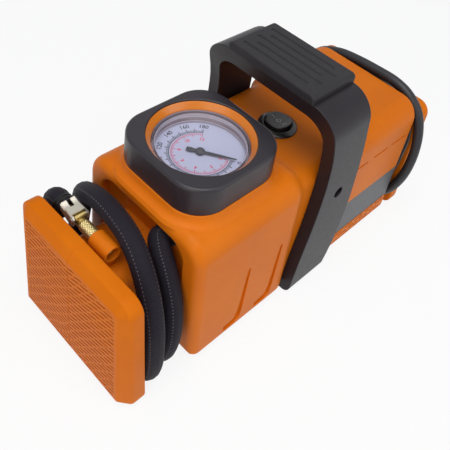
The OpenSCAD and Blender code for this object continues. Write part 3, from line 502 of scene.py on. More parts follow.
def orange_plastic(name, grooved=None, shine=0.15):
    """Matte moulded plastic with fine spark grain, faint flow marks and darker specks, and painted shade in
    the grooves where it has them.
    """
    made = Finish(name, (0.72, 0.165, 0.008), Specular_IOR_Level=shine)
    flow = made.noise(0.045, 3)
    base = made.mix(made.ramp(flow, (0.35, 0.0), (0.7, 1.0)), (0.66, 0.152, 0.003), (0.72, 0.178, 0.005))
    base = made.mix(made.noise(0.0016) * 0.16, base, (0.58, 0.118, 0.003))
    grain = made.bump(made.noise(0.0009), 0.00005, strength=0.7)
    roughness = flow * 0.14 + 0.38
    if grooved:
        mask = grooved(made)
        roughness = roughness + mask * 0.4
        # Painted shade: the grooves are coloured dark brown for the shade that falls in them, besides their
        # bump and roughness.
        base = made.mix(mask * 0.85, base, (0.33, 0.045, 0.001))
        grain = made.bump(1 - mask, 0.0004, grain)
    made.dress(Base_Color=base, Roughness=roughness, Normal=grain)
    return made


def tread(way, half, high):
    """Rows of short dashes moulded on an end plate's face, which slope where they pass its middle. Their mask
    also carries the painted shade in them.
    """
    def mask(made):
        x, y, z = [axis * 1000 for axis in made.axes()]
        slope = (y < 0) * (y * 0.34) + (y > 0) * (y * 0.05)
        row = (z + slope + made.noise(0.011, 1) * 2.2) / 3.5
        dash = (y / 9.4 + row.math("FLOOR") * 0.37 + made.noise(0.02, 1) * 0.5).math("FRACT")
        groove = made.ramp(row.math("FRACT"), (0.0, 0.0), (0.14, 1.0), (0.26, 1.0), (0.5, 0.0))
        broken = made.ramp(dash, (0.0, 0.15), (0.12, 1.0), (0.78, 1.0), (0.95, 0.15))
        width = y.math("ABSOLUTE") + z * DRAFT
        inside = (width < half - 9.6) * (z > 9.2) * (z < high - 10.2)
        front = (x * way + (z - PLATE_FOOT) * PLATE_LEAN) > 153.4
        return groove * broken * inside * front
    return mask


plate_plastic = {end: orange_plastic(f"orange_{end}_plate", tread(-way, half, high), 0.07)
                 for end, (_, way, half, high) in PLATES.items()}
orange = orange_plastic("orange_plastic")


def plate(x0, way, half, high):
    """An end plate: a broad bevel round a leaning face, and a square back edge."""
    mesh, rim = bmesh.new(), 9.4
    return bridged(mesh, [
        ring(mesh, x0 + way * depth, half, 0, high, 7.5, 10, inset,
             lean=way * PLATE_LEAN * max(0, 1 - depth / rim))
        for depth, inset in ((0, 8.1), (0.12, 7.5), (0.5, 7.0), (1.1, 6.4), (6.6, 1.0), (7.4, 0.4),
                             (8.4, 0.08), (rim, 0), (16.2, 0), (17.0, 0.22), (17.45, 0.7), (17.6, 1.3))])


for side, near in SIDES:
    for end, shape in PLATES.items():
        settle(half_of(plate(*shape), side), f"{end}_plate_{near}", plate_plastic[end], sharp=28)
    necks = {
        "front": lofted([(17.2, -1.6), (17.7, -0.8), (18.6, -0.2), (19.6, 0), (58.4, 0), (59.6, -0.3),
                         (60.4, -1.0), (60.9, -1.8)], 24, 26, 84, 10, 10, draft=0),
        "rear": lofted([(265.6, 0), (290.8, 0)], CORE_HALF, CORE_LOW, CORE_HIGH, 10, 10, draft=0),
    }
    for end, neck in necks.items():
        settle(half_of(neck, side), f"{end}_neck_{near}", orange, sharp=28)


def body_loft():
    """The body between the two pockets: front rim, waist under the handle, sharper step, rear rim."""
    front_pocket = dict(half=40.5, low=15.4, high=103.4, r_low=8, r_high=11, draft=0.03)
    rear_pocket = dict(half=45.5, low=11.5, high=104.5, r_low=10, r_high=10, draft=0)
    stations = (
        (front_pocket, [(60.5, 1.2), (60.2, 0.5), (59.5, 0), (56.6, 0), (55.7, -0.4), (55.2, -1.1)]),
        (BODY, [*quarter(55, 7, 1), (84, 0), (118, 0), (139, 0), (141.5, 0.15), (144, 0.9), (146.5, 2.2),
                (148.6, 3.5), (150.6, 4.25), (153, 4.5), (176, 4.5), (200, 4.5), (201.6, 4.3),
                (202.8, 3.7), (203.8, 2.4), (204.4, 1.1), (205.2, 0.35), (206.4, 0.0), (240, 0),
                *quarter(281.6, 4, -1, 4)]),
        (rear_pocket, [(281.6, -0.5), (281.2, 0), (267, 0), (266.3, 0.3), (266, 1)]),
    )
    mesh = bmesh.new()
    return bridged(mesh, [ring(mesh, x, inset=inset, **shape) for shape, row in stations for x, inset in row])


def cavity():
    return lofted([(63.6, 0), (146, 0), (151, 4.5), (201, 4.5), (207, 0), (263, 0)], 55, 7, 110, 3, 13,
                  segments=3)


def flank(z):
    """Half the body's width at a height."""
    return BODY["half"] - DRAFT * z


def gill(mesh, x, side):
    """The cutter of a J-shaped gill: shallow at its pointed top, wide and deep at its hooked foot."""
    outline = [(x - 16, 8.6, 1.7), (x - 4.6, 8.6, 1.8), (x - 0.6, 11.4, 1.9), (x + 1.0, 19, 1.9),
               (x + 2.2, 40, 1.7), (x + 3.2, 63, 0.9), (x + 0.2, 63, 0.1), (x - 2.2, 40, 0.3),
               (x - 4.0, 22, 0.5), (x - 6.8, 15.4, 0.7), (x - 16, 13.8, 0.8)]
    inner = [mesh.verts.new((px, side * (flank(z) - deep), z)) for px, z, deep in outline]
    outer = [mesh.verts.new((px, side * (flank(z) + 3), z)) for px, z, _ in outline]
    bmesh.ops.triangulate(mesh, faces=[mesh.faces.new(inner), mesh.faces.new(outer[::-1])])
    for k in range(len(outline)):
        j = (k + 1) % len(outline)
        mesh.faces.new((inner[k], outer[k], outer[j], inner[j]))
    outward(mesh)


def body_top(y):
    """Height of the body's top at y, over its flat and down its rounded edge."""
    past = abs(y) - 35.2
    return BODY["high"] if past <= 0 else 97 + math.sqrt(max(0, 256 - past * past))


def gauge_mound():
    """The raised square under the gauge, whose foot runs out over the body in a soft fillet."""
    mesh = bmesh.new()
    loops = []
    for out, up in ((6.4, -2.0), (5.0, 0.05), (3.3, 0.3), (1.9, 1.1), (0.8, 2.4), (0.2, 4.2), (0, 5.4),
                    (-0.25, 5.75), (-0.8, 6.0), (-1.6, 6.05)):
        loop = square(mesh, up, MOUND_HALF + out, MOUND_CORNER + out, 9)
        blend = min(1, max(0, up / 5.4))
        for vert in {v for e in loop for v in e.verts}:
            vert.co.z = body_top(vert.co.y) * (1 - blend) + BODY["high"] * blend + up
        loops.append(loop)
    return bridged(mesh, loops)


def other_half(side):
    """A cutter that takes away everything past the middle plane."""
    mesh = bmesh.new()
    block(mesh, (-20, -side * 0.015, -20), (330, -side * 120, 220))
    return mesh


for side, near in SIDES:
    holes, cuts, mouth = bmesh.new(), bmesh.new(), bmesh.new()
    rod(holes, 29.8, (GAUGE_X, 0, 96), (GAUGE_X, 0, 140), 64)
    rod(holes, 10.2, (SWITCH_X, 0, 96), (SWITCH_X, 0, 120), 40)
    for x in (100, 131):
        gill(cuts, x, side)
    for x, length in ((210, 13), (231, 17), (253.6, 18)):
        block(cuts, (x, side * (flank(87) - 0.8), 86), (x + length, side * 70, 87.6))
    if side < 0:
        for row, start in enumerate((207, 214, 207)):
            for k in range(5 - row % 2):
                x, z = start + 14.6 * k, 7.6 + 3.7 * row
                block(cuts, (x, -70, z), (x + 10.6, 1.3 - flank(z), z + 1.5))
        for vert in block(cuts, (205, -70, 18), (283, -55, 52)):
            if vert.co.y > -60:
                vert.co.y = 2 - flank(vert.co.z)
    else:
        for z in range(42, 83, 8):
            block(cuts, (214, 40, z), (250, 70, z + 3.4))
        for x, z in ((75.5, 22), (75.5, 78), (208, 20), (208, 101), (256, 20), (256, 98)):
            rod(cuts, 3.0, (x, 8, z), (x, 70, z), 24)
    rod(cuts, 7.0, (55, *HOSE_EXIT[1:]), (63.55, *HOSE_EXIT[1:]), 32)
    shell = carved(body_loft(), cavity(), holes, cuts, other_half(side))
    settle(shell, f"body_shell_{near}", orange, [f"{near}_shell"], sharp=30, soft=(0.00035, 2, 38))
    rod(mouth, 29.8, (GAUGE_X, 0, 90), (GAUGE_X, 0, 140), 64)
    mound = carved(gauge_mound(), mouth, other_half(side))
    settle(mound, f"gauge_mound_{near}", orange, sharp=30, soft=(0.0003, 1, 38))

# ---- Carry handle ----
# One black moulded band that runs under the body, up both sides and over the top, held in the waist
# by a screw through each leg. Its front and rear edges swing out towards the bar.
SCREW_X, SCREW_Z = 180, 87


def eased(points, z):
    z = min(max(z, points[0][0]), points[-1][0])
    k = next(i for i in range(1, len(points)) if z <= points[i][0])
    (z0, v0), (z1, v1) = points[k - 1], points[k]

    def slope(i):
        a, b = points[max(i - 1, 0)], points[min(i + 1, len(points) - 1)]
        return (b[1] - a[1]) / (b[0] - a[0])
    t, step = (z - z0) / (z1 - z0), z1 - z0
    return (v0 * (1 + 2 * t) * (1 - t) ** 2 + slope(k - 1) * step * t * (1 - t) ** 2
            + v1 * t * t * (3 - 2 * t) + slope(k) * step * t * t * (t - 1))


band_front = [(0, 148.2), (20, 151.2), (38, 154), (60, 158), (84, 161), (104, 162), (128, 160), (156, 152.5),
              (176, 151.5)]
band_rear = [(0, 187), (20, 194), (42, 198), (68, 200), (96, 199), (118, 197), (146, 192.5), (176, 192.5)]


def band_loop(mesh, edge, *shape):
    before = set(mesh.edges)
    loop = ring(mesh, 0, *shape, segments=8)
    bmesh.ops.subdivide_edges(mesh, edges=[e for e in loop if e.calc_length() > 24], cuts=16)
    loop = [e for e in mesh.edges if e not in before]
    for vert in {v for e in loop for v in e.verts}:
        vert.co.x = eased(edge, vert.co.z)
    return loop


def clouded(name, low, high, cloud, rough=None, grain=None, **fixed):
    """A finish that drifts between two colours. Cloud is its noise, (size, detail), rough is (noise,
    sway, least) for the roughness, and grain is (noise, depth) for the bump."""
    made = Finish(name, high, **fixed)
    made.dress(Base_Color=made.mix(made.noise(*cloud), low, high))
    if rough:
        made.dress(Roughness=made.noise(*rough[0]) * rough[1] + rough[2])
    if grain:
        made.dress(Normal=made.bump(made.noise(*grain[0]), grain[1]))
    return made


handle_black = clouded("handle_black", (0.011, 0.009, 0.012), (0.018, 0.015, 0.020), (0.03, 3),
                       ((0.004, 3), 0.12, 0.32), ((0.0007, 2), 0.00006), Specular_IOR_Level=0.27)
band = bmesh.new()
outer, inner = (63.3, 0, 160, 6, 18), (53.7, 7.8, 149, 4, 14)
bridged(band, [band_loop(band, edge, *shape) for edge, shape in (
    (band_front, outer), (band_rear, outer), (band_rear, inner), (band_front, inner))], closed=True)
screw_holes = bmesh.new()
for side in (-1, 1):
    rod(screw_holes, 4.15, (SCREW_X, side * 40, SCREW_Z), (SCREW_X, side * 80, SCREW_Z), 32)
settle(carved(band, screw_holes), "carry_handle", handle_black, ["handle_frame"], sharp=35,
       soft=(0.0013, 3, 50))

# ---- Handle screws ----
# Two black self-tapping screws with cross slots, sunk in the legs.
screw_black = Finish("blackened_screw", (0.02, 0.02, 0.022), Roughness=0.35, Metallic=0.7)
screw_black.dress(Normal=screw_black.bump(screw_black.noise(0.0008, 2), 0.00005))


def spun(profile, spot, axis=(0, 0, 1), steps=48):
    """A turned piece: a profile of (radius, height) spun round an axis that starts at a spot. A
    profile that doesn't start on the axis is closed and makes a ring."""
    mesh = bmesh.new()
    verts = [mesh.verts.new((radius, 0, height)) for radius, height in profile]
    ends = verts[1:] + (verts[:1] if profile[0][0] else [])
    edges = [mesh.edges.new(pair) for pair in zip(verts, ends)]
    bmesh.ops.spin(mesh, geom=verts + edges, cent=(0, 0, 0), axis=(0, 0, 1), dvec=(0, 0, 0),
                   angle=2 * math.pi, steps=steps, use_merge=True, use_duplicate=False)
    bmesh.ops.remove_doubles(mesh, verts=mesh.verts, dist=0.0005)
    outward(mesh)
    turn = Vector(axis).to_track_quat("Z", "Y").to_matrix().to_4x4()
    bmesh.ops.transform(mesh, matrix=Matrix.Translation(spot) @ turn, verts=mesh.verts)
    return mesh


def joined(*meshes):
    """Several loose solids of one piece in one mesh."""
    whole = bmesh.new()
    for mesh in meshes:
        data = to_data(mesh)
        whole.from_mesh(data)
        bpy.data.meshes.remove(data)
    return whole


heads = []
for side in (-1, 1):
    seat = side * (inner[0] - DRAFT * SCREW_Z + 0.5)
    head = spun([(0, 0), (3.9, 0), (3.95, 1.2), (3.6, 2.2), (2.6, 3.0), (0, 3.4)],
                (SCREW_X, seat, SCREW_Z), (0, side, 0), 32)
    cross = bmesh.new()
    for dx, dz in ((0.5, 2.1), (2.1, 0.5)):
        block(cross, (SCREW_X - dx, seat + side * 2, SCREW_Z - dz),
              (SCREW_X + dx, seat + side * 5, SCREW_Z + dz))
    heads.append(carved(head, cross))
settle(joined(*heads), "handle_screw_heads", screw_black, ["handle_screws"])

# ---- Grip pad ----
# A softer black pad pressed over the handle's bar, with five staggered finger grooves in its top.
grip = clouded("grip_rubber", (0.010, 0.009, 0.011), (0.020, 0.018, 0.022), (0.01, 4),
               ((0.003, 2), 0.14, 0.5), ((0.0009, 3), 0.00012), Specular_IOR_Level=0.32)
pad = lofted([(151.1, 1.3), (151.25, 0.7), (151.6, 0.25), (152.2, 0), (191.9, 0), (192.5, 0.25),
              (192.85, 0.7), (193.0, 1.3)], 35.3, 159.4, 166, 0.8, 3.2, draft=0)
fingers = bmesh.new()
for k in range(5):
    x, low = 158.6 + 6.6 * k, -29 if k % 2 else -23.5
    rod(fingers, 1.2, (x, low, 166.25), (x, low + 52.5, 166.25), 16)
settle(carved(pad, fingers), "grip_pad_cover", grip, ["grip_pad"], sharp=40, soft=(0.00025, 2, 45))

# ---- Gauge bezel ----
# A square black frame with broad corners, which drops over the mound and clamps the gauge's ring.
charcoal = clouded("bezel_black", (0.015, 0.012, 0.017), (0.025, 0.021, 0.028), (0.03, 3),
                   ((0.004, 3), 0.12, 0.30), ((0.0007, 2), 0.00006), Specular_IOR_Level=0.40)
frame_mesh, bore = bmesh.new(), bmesh.new()
bridged(frame_mesh, [square(frame_mesh, z, 38.3 - out, 21.3 - out) for z, out in
                     ((119.05, 0.3), (119.3, 0.05), (120, 0), (128, 0.2), (136.6, 0.55), (137.5, 0.7),
                      (138.2, 1.1), (138.75, 1.75), (139, 2.6))])
rod(bore, 33.15, (GAUGE_X, 0, 110), (GAUGE_X, 0, 145), 96)
settle(carved(frame_mesh, bore), "gauge_frame", charcoal, ["gauge_bezel"], sharp=30,
       soft=(0.0005, 2, 50))

# ---- Gauge ring ----
# A bright orange conical ring that shows between the frame and the lens.
glossy_orange = clouded("orange_ring", (0.62, 0.165, 0.008), (0.70, 0.205, 0.013), (0.02, 2), None,
                        ((0.0012, 2), 0.00003), Roughness=0.28, Specular_IOR_Level=0.5)
GAUGE = (GAUGE_X, 0, 0)
ring_piece = spun([(32.7, 137.9), (32.85, 138.05), (33.05, 137.9), (33.05, 130), (29.9, 130), (29.9, 133.6),
                   (30.3, 134.3)], GAUGE, steps=96)
settle(ring_piece, "gauge_ring_lip", glossy_orange, ["gauge_ring"])

# ---- Gauge lens ----
# A clear cap whose thick moulded wall is painted as a dark band with light lines round the dial, painted
# shade and painted reflections; its face is painted whiter towards grazing angles, a painted reflection.
clear = Finish("clear_cap", (0.86, 0.86, 0.92), Roughness=0.06, Specular_IOR_Level=0.6)
cx, cy, cz = clear.axes(clear.place(shift=(0.0544, 0, 0)))
reach = (cx * cx + cy * cy).math("SQRT") * 1000
level = cz * 1000
highlight_streaks = clear.node("TexNoise", {"Vector": clear.place((60, 60, 900)), "Scale": 1, "Detail": 2})
CAP_R, CAP_FOOT = 27.8, 124.8
wall_part = (reach > CAP_R - 0.2) * (level < 133.6)
# Painted shade and painted reflections: the clear wall is coloured as a dark brown-violet band crossed by
# light streaked lines, which stand for what the thick wall mirrors.
painted_wall_highlights = clear.ramp((level - CAP_FOOT) / 8.9, (0.0, 0.8), (0.06, 0.1), (0.16, 0.7), (0.24, 0.05),
                        (0.5, 0.12), (0.58, 0.85), (0.64, 0.2), (0.72, 0.75), (0.8, 0.35), (0.9, 1.0),
                        (1.0, 0.8))
painted_wall_band = clear.mix(painted_wall_highlights * (highlight_streaks * 0.5 + 0.75), (0.15, 0.075, 0.095), (0.70, 0.66, 0.76))
# Painted reflection: a Fresnel term makes the whitish cap more opaque towards grazing angles, as a glare.
painted_glare = clear.node("Fresnel", {"IOR": 1.3})
cover = wall_part * 0.92 + painted_glare * 0.16 + 0.01
clear.dress(
    Base_Color=clear.mix(wall_part, (0.86, 0.86, 0.92), painted_wall_band),
    Alpha=cover.math("MINIMUM", 0.94),
    Normal=clear.bump(clear.noise(0.014, 1), 0.0002),
)
cap = spun([(0, 132.4), (CAP_R, 132.4), (CAP_R, CAP_FOOT), (29.7, CAP_FOOT), (29.8, 133.0),
            (29.5, 133.8), (28.8, 134.2), (27.6, 134.3), (0, 134.3)], GAUGE, steps=96)
settle(cap, "gauge_cap", clear, ["gauge_lens"])

# ---- Gauge dial ----
# A pale printed disc with a black outer scale and a red inner one.
paint = clouded("dial_face", (0.44, 0.46, 0.64), (0.52, 0.54, 0.72), (0.02, 3), None,
                ((0.0015, 2), 0.00003), Roughness=0.5)
disc = spun([(2.0, 123.5), (29.3, 123.5), (29.5, 123.9), (29.3, 124.5), (26, 124.42), (8, 124.38),
             (2.2, 124.38), (2.0, 124.2)], GAUGE, steps=96)
settle(disc, "dial_disc", paint, ["gauge_dial"])
black_ink = clouded("black_ink", (0.02, 0.02, 0.035), (0.05, 0.05, 0.07), (0.002, 2), Roughness=0.5)
red_ink = clouded("red_ink", (0.62, 0.03, 0.11), (0.74, 0.07, 0.18), (0.002, 2), Roughness=0.5)
DIAL_START, DIAL_SWEEP, DIAL_Z, INK = -57, 261, 124.42, 0.03


def on_dial(share, radius=0):
    """The place at a share of the scale's sweep and this far out, with its top to the rim."""
    angle = math.radians(DIAL_START - DIAL_SWEEP * share)
    return (Matrix.Translation((GAUGE_X, 0, DIAL_Z)) @ Matrix.Rotation(angle - math.pi / 2, 4, "Z")
            @ Matrix.Translation((0, radius, 0)))


def tick(mesh, share, r0, r1, width):
    """A radial bar of ink at a share of the scale's sweep."""
    bar = block(mesh, (-width / 2, r0, -INK), (width / 2, r1, INK))
    bmesh.ops.transform(mesh, matrix=on_dial(share), verts=bar)


def numeral(words, matrix, size):
    """A plain numeral, as a mesh in place."""
    text = bpy.data.curves.new("numeral", "FONT")
    text.body, text.size, text.extrude, text.offset = words, size, 0.02, 0.09
    text.align_x = text.align_y = "CENTER"
    text.resolution_u = 3
    mesh = melted(stand("numeral", text))
    bmesh.ops.transform(mesh, matrix=matrix, verts=mesh.verts)
    return mesh


def scale_arc(mesh, radius, width):
    """A thin arc of ink over the scale's sweep."""
    angle = math.radians(DIAL_START)
    corners = [mesh.verts.new(((radius + dr) * math.cos(angle), (radius + dr) * math.sin(angle), DIAL_Z + dz))
               for dr, dz in ((0, -INK), (width, -INK), (width, INK), (0, INK))]
    edge = [mesh.edges.new((corners[k], corners[(k + 1) % 4])) for k in range(4)]
    bmesh.ops.spin(mesh, geom=corners + edge, cent=(0, 0, 0), axis=(0, 0, 1), dvec=(0, 0, 0),
                   angle=-math.radians(DIAL_SWEEP), steps=72, use_merge=False, use_duplicate=False)
    bmesh.ops.holes_fill(mesh, edges=[e for e in mesh.edges if e.is_boundary], sides=4)
    bmesh.ops.translate(mesh, vec=GAUGE, verts=mesh.verts)
    outward(mesh)


for name, finish, radius, ticks, step, size, out, ends, widths in (
        ("dial_black_scale", black_ink, 18.6, 90, 20, 4.3, 24.6, ((18.8, 20.6), (18.8, 21.7)), (0.42, 0.6)),
        ("dial_red_scale", red_ink, 17.4, 60, 2, 3.3, 12.7, ((16.1, 17.5), (15.0, 17.5)), (0.34, 0.48))):
    scale = bmesh.new()
    scale_arc(scale, radius, 0.34)
    for k in range(ticks + 1):
        long = k % 5 == 0
        tick(scale, k / ticks, *ends[long], widths[long])
    last = ticks // 10
    numbers = [numeral(str(step * k), on_dial(k / last, out), size) for k in range(last + 1)]
    settle(joined(scale, *numbers), name, finish, sharp=0)

# ---- Gauge needle ----
# A dark sheet pointer with a broad tail, on a turned cap over the spindle.
pointer_finish = clouded("pointer", (0.02, 0.02, 0.032), (0.045, 0.045, 0.06), (0.01, 2), Roughness=0.4)


def prism(outline, start, end, axis):
    """A solid from start to end along an axis (0 to 2), with an outline of its other two coordinates."""
    mesh = bmesh.new()
    face = mesh.faces.new([mesh.verts.new((*spot[:axis], start, *spot[axis:])) for spot in outline])
    grown = bmesh.ops.extrude_face_region(mesh, geom=[face])["geom"]
    way = [end - start if k == axis else 0 for k in range(3)]
    bmesh.ops.translate(mesh, vec=way, verts=[v for v in grown if isinstance(v, bmesh.types.BMVert)])
    return outward(mesh)


edge = [(-8.6, -1.3), (-8.2, -1.6), (-5.6, -1.7), (-3.6, -1.2), (0, -1.1), (9, -0.95), (22.3, -0.3)]
pointer = prism([*edge, (22.5, 0), *((x, -y) for x, y in edge[::-1])], 125.75, 126.2, 2)
aim = Matrix.Translation(GAUGE) @ Matrix.Rotation(math.radians(-55), 4, "Z")
bmesh.ops.transform(pointer, matrix=aim, verts=pointer.verts)
spindle = spun([(0, 107.5), (1.0, 107.5), (1.0, 125.2), (2.7, 125.3), (2.9, 126.5), (2.4, 127.1),
                (1.4, 127.4), (0, 127.4)], GAUGE, steps=32)
settle(joined(pointer, spindle), "pointer_and_cap", pointer_finish, ["gauge_needle"], "needle")

# ---- Switch ----
# A round black three-way switch clipped in the waist: a stepped flange, and a rocker marked I O II.
SWITCH = (SWITCH_X, 0, 0)
gloss_black = clouded("gloss_black", (0.010, 0.010, 0.011), (0.024, 0.023, 0.025), (0.006, 3),
                      ((0.003, 2), 0.16, 0.22), Specular_IOR_Level=0.5)
flange = spun([(0, 95.6), (10, 95.6), (10, 108.45), (13.7, 108.5), (14, 108.9), (13.8, 109.7), (13.2, 110.3),
               (12.0, 110.75), (11.4, 111.2), (10.9, 111.35), (0, 111.35)], SWITCH, steps=64)
well = spun([(0, 102), (9.6, 102), (9.6, 109.2), (10.4, 109.2), (10.4, 116), (0, 116)], SWITCH, steps=64)
settle(carved(flange, well), "switch_flange", gloss_black, ["switch_body"],
       soft=(0.0003, 2, 45))
rocker = bmesh.new()
bridged(rocker, [square(rocker, z, half, 6.6, x=SWITCH_X) for z, half in ((104.6, 8.15), (115.8, 8.4))])
dish = prism([(-12, 118), (-12, 115), (-4.4, 113.5), (0, 113.2), (4.4, 113.5), (12, 115), (12, 118)],
             160, 190, 0)
settle(carved(rocker, dish), "rocker_button", gloss_black, ["switch_rocker"], "rocker", 40,
       (0.0005, 3, 40))
white_ink = clouded("white_ink", (0.4, 0.4, 0.41), (0.62, 0.62, 0.63), (0.001, 2), Roughness=0.5)
marks = spun([(1.25, -0.05), (1.75, -0.05), (1.75, 0.05), (1.25, 0.05)], (SWITCH_X, 0, 113.3), steps=32)
for x, y in ((SWITCH_X, 5.3), (173.9, -5.3), (175.7, -5.3)):
    for vert in block(marks, (x - 0.28, y - 1.7, 113.5), (x + 0.28, y + 1.7, 113.66)):
        vert.co.z += (abs(vert.co.y) - 4.5) * 0.19
settle(marks, "rocker_marks", white_ink, body="rocker", sharp=0)

# ---- Label plate ----
# A grey plate bonded in the pocket of the near side. Its place for words is left bare.
label_grey = clouded("label_grey", (0.085, 0.088, 0.092), (0.12, 0.123, 0.128), (0.03, 3),
                     ((0.004, 2), 0.12, 0.42), ((0.0011, 2), 0.00004), Specular_IOR_Level=0.4)


def round_along(mesh, axis):
    """Rounds the edges of a plain box that run mainly along one axis (0 to 2)."""
    runs = [(e, [abs(c) for c in e.verts[0].co - e.verts[1].co]) for e in mesh.edges]
    bevel(mesh, [e for e, run in runs if run[axis] == max(run)], 1.6, 4, "EDGES")


panel = bmesh.new()
for vert in block(panel, (205.3, -60, 18.3), (279.6, -54, 51.7)):
    vert.co.y = (0.45 if vert.co.y < -57 else 1.9) - flank(vert.co.z)
round_along(panel, 1)
settle(panel, "label_panel", label_grey, ["label_plate"], soft=(0.0002, 2, 38))

# ---- Chuck holder ----
# An orange tube on a short post of the front neck, into which the chuck is pushed to park it.
sleeve = spun([(4.15, 0.5), (4.7, 0), (5.4, 0), (6, 0.6), (6, 15.4), (5.4, 16), (4.7, 16), (4.15, 15.5)],
              (26.5, -12, 96.5), (0, 1, 0), 48)
post, tunnel = bmesh.new(), bmesh.new()
for vert in block(post, (22.5, -10, 83.4), (30.5, 2, 96)):
    if vert.co.z > 90:
        vert.co.x = 26.5 + (vert.co.x - 26.5) * 0.86
round_along(post, 2)
rod(tunnel, 4.8, (26.5, -20, 96.5), (26.5, 20, 96.5), 48)
settle(joined(sleeve, carved(post, tunnel)), "chuck_sleeve", orange, ["chuck_holder"])

# ---- Chuck body ----
# A turned brass chuck: knurled where the fingers hold it, with a shoulder, a hose tail and two lugs
# for the lever, and a bore with the pin that opens the valve.
brass = Finish("brass", (0.62, 0.45, 0.16), Roughness=0.3, Metallic=0.9)
bx, by, bz = brass.axes(brass.place(shift=(0.1275, 0, -0.0965)))
spiral = bz.math("ARCTAN2", bx) * (15 / (2 * math.pi))
rows = by * 1000 / 1.6
held = (by < 0.0155) * (by > -0.0075)
knurl = (spiral + rows).math("PINGPONG", 0.5).math("MINIMUM", (spiral - rows).math("PINGPONG", 0.5)) * held
tarnish = brass.noise(0.006, 4, 0.6)
brass_base = brass.mix(tarnish, (0.36, 0.26, 0.08), (0.60, 0.46, 0.18))
brass.dress(
    Base_Color=brass.mix(knurl * 1.8, brass_base, (0.90, 0.80, 0.48)),
    Roughness=tarnish * 0.2 + 0.24,
    Normal=brass.bump(knurl, 0.0005),
)
CHUCK, HINGE = (26.5, 0, 96.5), (26.5, 20, 100.1)
chuck = spun([(0, 4), (2.8, 4), (2.8, -7.6), (3.1, -8), (3.6, -8), (4, -7.5), (4, 15.4), (3.6, 16),
              (3.4, 16.3), (3.4, 26), (3.1, 26.4), (3.1, 27.2), (3.4, 27.6), (3.4, 30.6), (3.1, 31),
              (2.6, 31), (2.6, 37), (0, 37)], CHUCK, (0, 1, 0), 48)


def mirrored(profile):
    """A profile of (radius, height) and its mirror image over height 0."""
    return profile + [(r, -h) for r, h in profile[::-1]]


lug = spun(mirrored([(1.05, -3.4), (1.2, -3.6), (1.8, -3.6), (2.0, -3.4)]), HINGE, (1, 0, 0), 24)
chuck_piece = settle(joined(chuck, lug), "brass_chuck", brass, ["chuck_body"])
pin = spun([(0, -6), (0.7, -6), (1.0, -5.6), (1.0, 2), (2.7, 2.2), (2.7, 4), (0, 4)], CHUCK, (0, 1, 0), 24)
settle(pin, "valve_pin", brass, ["chuck_pin"])

# ---- Chuck lever ----
# A pressed steel channel with two cheeks on a rivet, and a top plate slit into two turned-up prongs.
steel = Finish("pressed_steel", (0.55, 0.52, 0.46), Roughness=0.34, Metallic=0.85)
brushed = steel.node("TexNoise", {"Vector": steel.place((300, 2600, 2600)), "Scale": 1, "Detail": 3})
steel.dress(
    Base_Color=steel.mix(brushed, (0.42, 0.39, 0.33), (0.66, 0.62, 0.54)),
    Roughness=brushed * 0.2 + 0.26,
    Normal=steel.bump(brushed, 0.00003),
)
channel = prism([(21.1, 95.5), (21.1, 102.7), (22.1, 103.7), (30.9, 103.7), (31.9, 102.7), (31.9, 95.5),
                 (30.8, 95.5), (30.8, 101.9), (30.3, 102.5), (22.7, 102.5), (22.2, 101.9), (22.2, 95.5)],
                17.8, 31, 1)
trim = bmesh.new()
block(trim, (25.2, 26.2, 98), (27.8, 40, 112))
block(trim, (22.2, 10, 101), (30.8, 20.9, 112))
heel = prism([(10, 90), (40, 90), (40, 99.4), (31, 99.4), (24.2, 95.4), (19.2, 95.4), (17.7, 98.4),
              (10, 98.4)], 10, 40, 0)
nose = prism([(10, 101.8), (17.7, 101.8), (19.4, 103.8), (21, 105), (10, 109)], 10, 40, 0)
channel = carved(channel, trim, heel, nose)
CURL = 26.4
for k in range(5):
    bmesh.ops.bisect_plane(channel, geom=channel.verts[:] + channel.edges[:] + channel.faces[:],
                           dist=0.0005, plane_co=(0, CURL + k, 0), plane_no=(0, 1, 0))
for vert in channel.verts:
    if vert.co.y > CURL and vert.co.z > 101.2:
        vert.co.z += 0.07 * (vert.co.y - CURL) ** 2
rivet = spun(mirrored([(0, -6.0), (1.0, -6.0), (1.6, -5.75), (1.6, -5.5), (1.0, -5.45)]), HINGE,
             (1, 0, 0), 24)
settle(joined(channel, rivet), "lever_channel", steel, ["chuck_lever"], "lever",
       soft=(0.00018, 2, 45))

# ---- Hose ends ----
# A blackened crimp sleeve squeezed in three rings on the chuck's tail, and a rubber grommet where the
# hose passes the body's front wall.
crimp = spun([(2.7, 31.1), (6.0, 31.1), (6.9, 31.7), (6.9, 33.0), (6.4, 33.4), (6.4, 34.0), (6.9, 34.4),
              (6.9, 35.6), (6.4, 36.0), (6.4, 36.4), (6.9, 36.8), (6.9, 37.7), (6.75, 38.0), (2.7, 38.0)],
             CHUCK, (0, 1, 0), 48)
crimp_piece = settle(crimp, "hose_crimp", screw_black, ["hose_ferrule"])
grommet = spun([(6.8, -0.6), (6.8, 1.2), (7.4, 1.8), (8.2, 1.5), (8.8, 0.8), (8.8, -0.6)],
               (60.6, *HOSE_EXIT[1:]), (-1, 0, 0), 40)
settle(grommet, "hose_grommet", rubber)
metres(hose_route)

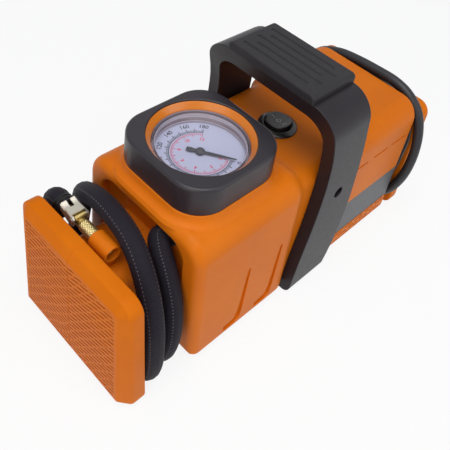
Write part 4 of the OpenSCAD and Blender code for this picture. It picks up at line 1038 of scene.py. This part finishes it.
# ---- Lead ends ----
# A tapered strain relief where the lead leaves the rear neck, and the round plug for a car's socket:
# a ribbed black body, a sprung steel tip and a leaf contact on each side.
relief = spun([(0, -19), (7.0, -19), (7.0, -17.2), (6.2, -16.6), (6.1, -12), (5.9, -11.6), (5.9, -10.6),
               (5.6, -10.2), (5.5, -6), (5.3, -5.6), (5.3, -4.6), (5.0, -4.2), (4.9, 0), (4.6, 3), (4.2, 3.6),
               (0, 3.6)], LEAD_EXIT, (0, 0.45, 0.893), 32)
settle(relief, "lead_relief", rubber, ["lead_boot"])
ribs = [(0, 202), (8.2, 202), (9.2, 202.4), (9.8, 203.4), (9.8, 232)]
for x in range(234, 253, 3):
    ribs += [(10, x), (10, x + 1.6), (9.3, x + 2.0), (9.3, x + 2.6)]
ribs += [(9.6, 255.4), (8.6, 258.6), (6.2, 262), (5.6, 263), (5.4, 268), (4.9, 268.4), (4.9, 269.4),
         (5.1, 269.8), (4.8, 274), (4.3, 276), (0, 276)]
plug_mesh = spun(ribs, (0, 70, 11), (1, 0, 0), 48)
for vert in plug_mesh.verts:
    past = max(0, vert.co.x - 262)
    vert.co.z -= past * past * 0.0035
    vert.co.y -= past * past * 0.004
slots = bmesh.new()
block(slots, (216.4, 68.2, -2), (231.6, 71.8, 24))
rod(slots, 3.1, (200, 70, 11), (214, 70, 11), 32)
plug_piece = settle(carved(plug_mesh, slots), "plug_shell", gloss_black, ["plug_body"],
                    sharp=30)
run_length(lead_route)
metres(lead_route)

# ---- Works inside ----
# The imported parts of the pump, the motor and the board keep their own shapes and take these finishes.


def metal(name, low, high, roughness, size=0.01):
    cloud = (size, 4, 0.55)
    return clouded(name, low, high, cloud, (cloud, 0.18, roughness), ((0.0009, 2), 0.00005), Metallic=1.0)


def moulded(name, low, high, roughness, size=0.01):
    return clouded(name, low, high, (size, 3), ((size, 3), 0.15, roughness), ((0.001, 2), 0.00005))


works = {
    brass: ["hose_nipple"],
    metal("turned_steel", (0.45, 0.45, 0.46), (0.68, 0.68, 0.69), 0.22): [
        "shell_screws", "gauge_can", "head_screws", "wrist_pin", "gear_bearing", "motor_can",
        "motor_shaft", "pinion", "motor_screws", "board_screws", "plug_tip", "plug_springs"],
    metal("cast_alloy", (0.38, 0.39, 0.40), (0.60, 0.61, 0.62), 0.42, 0.004): [
        "pump_frame", "cylinder", "cylinder_head", "air_manifold", "piston", "con_rod"],
    metal("copper_coil", (0.45, 0.18, 0.08), (0.72, 0.34, 0.18), 0.3, 0.002): ["transformer"],
    moulded("gear_nylon", (0.62, 0.60, 0.52), (0.74, 0.72, 0.64), 0.42): ["drive_gear", "fan", "motor_cap"],
    moulded("piston_seal", (0.02, 0.02, 0.022), (0.05, 0.05, 0.052), 0.5): ["piston_ring"],
    moulded("board_green", (0.012, 0.09, 0.03), (0.02, 0.16, 0.06), 0.35, 0.004): ["power_board"],
    moulded("capacitor_sleeve", (0.015, 0.03, 0.12), (0.03, 0.06, 0.2), 0.3): ["capacitor"],
}
for finish, names in works.items():
    for name in names:
        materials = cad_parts[name].data.materials
        materials.clear()
        materials.append(finish.material)
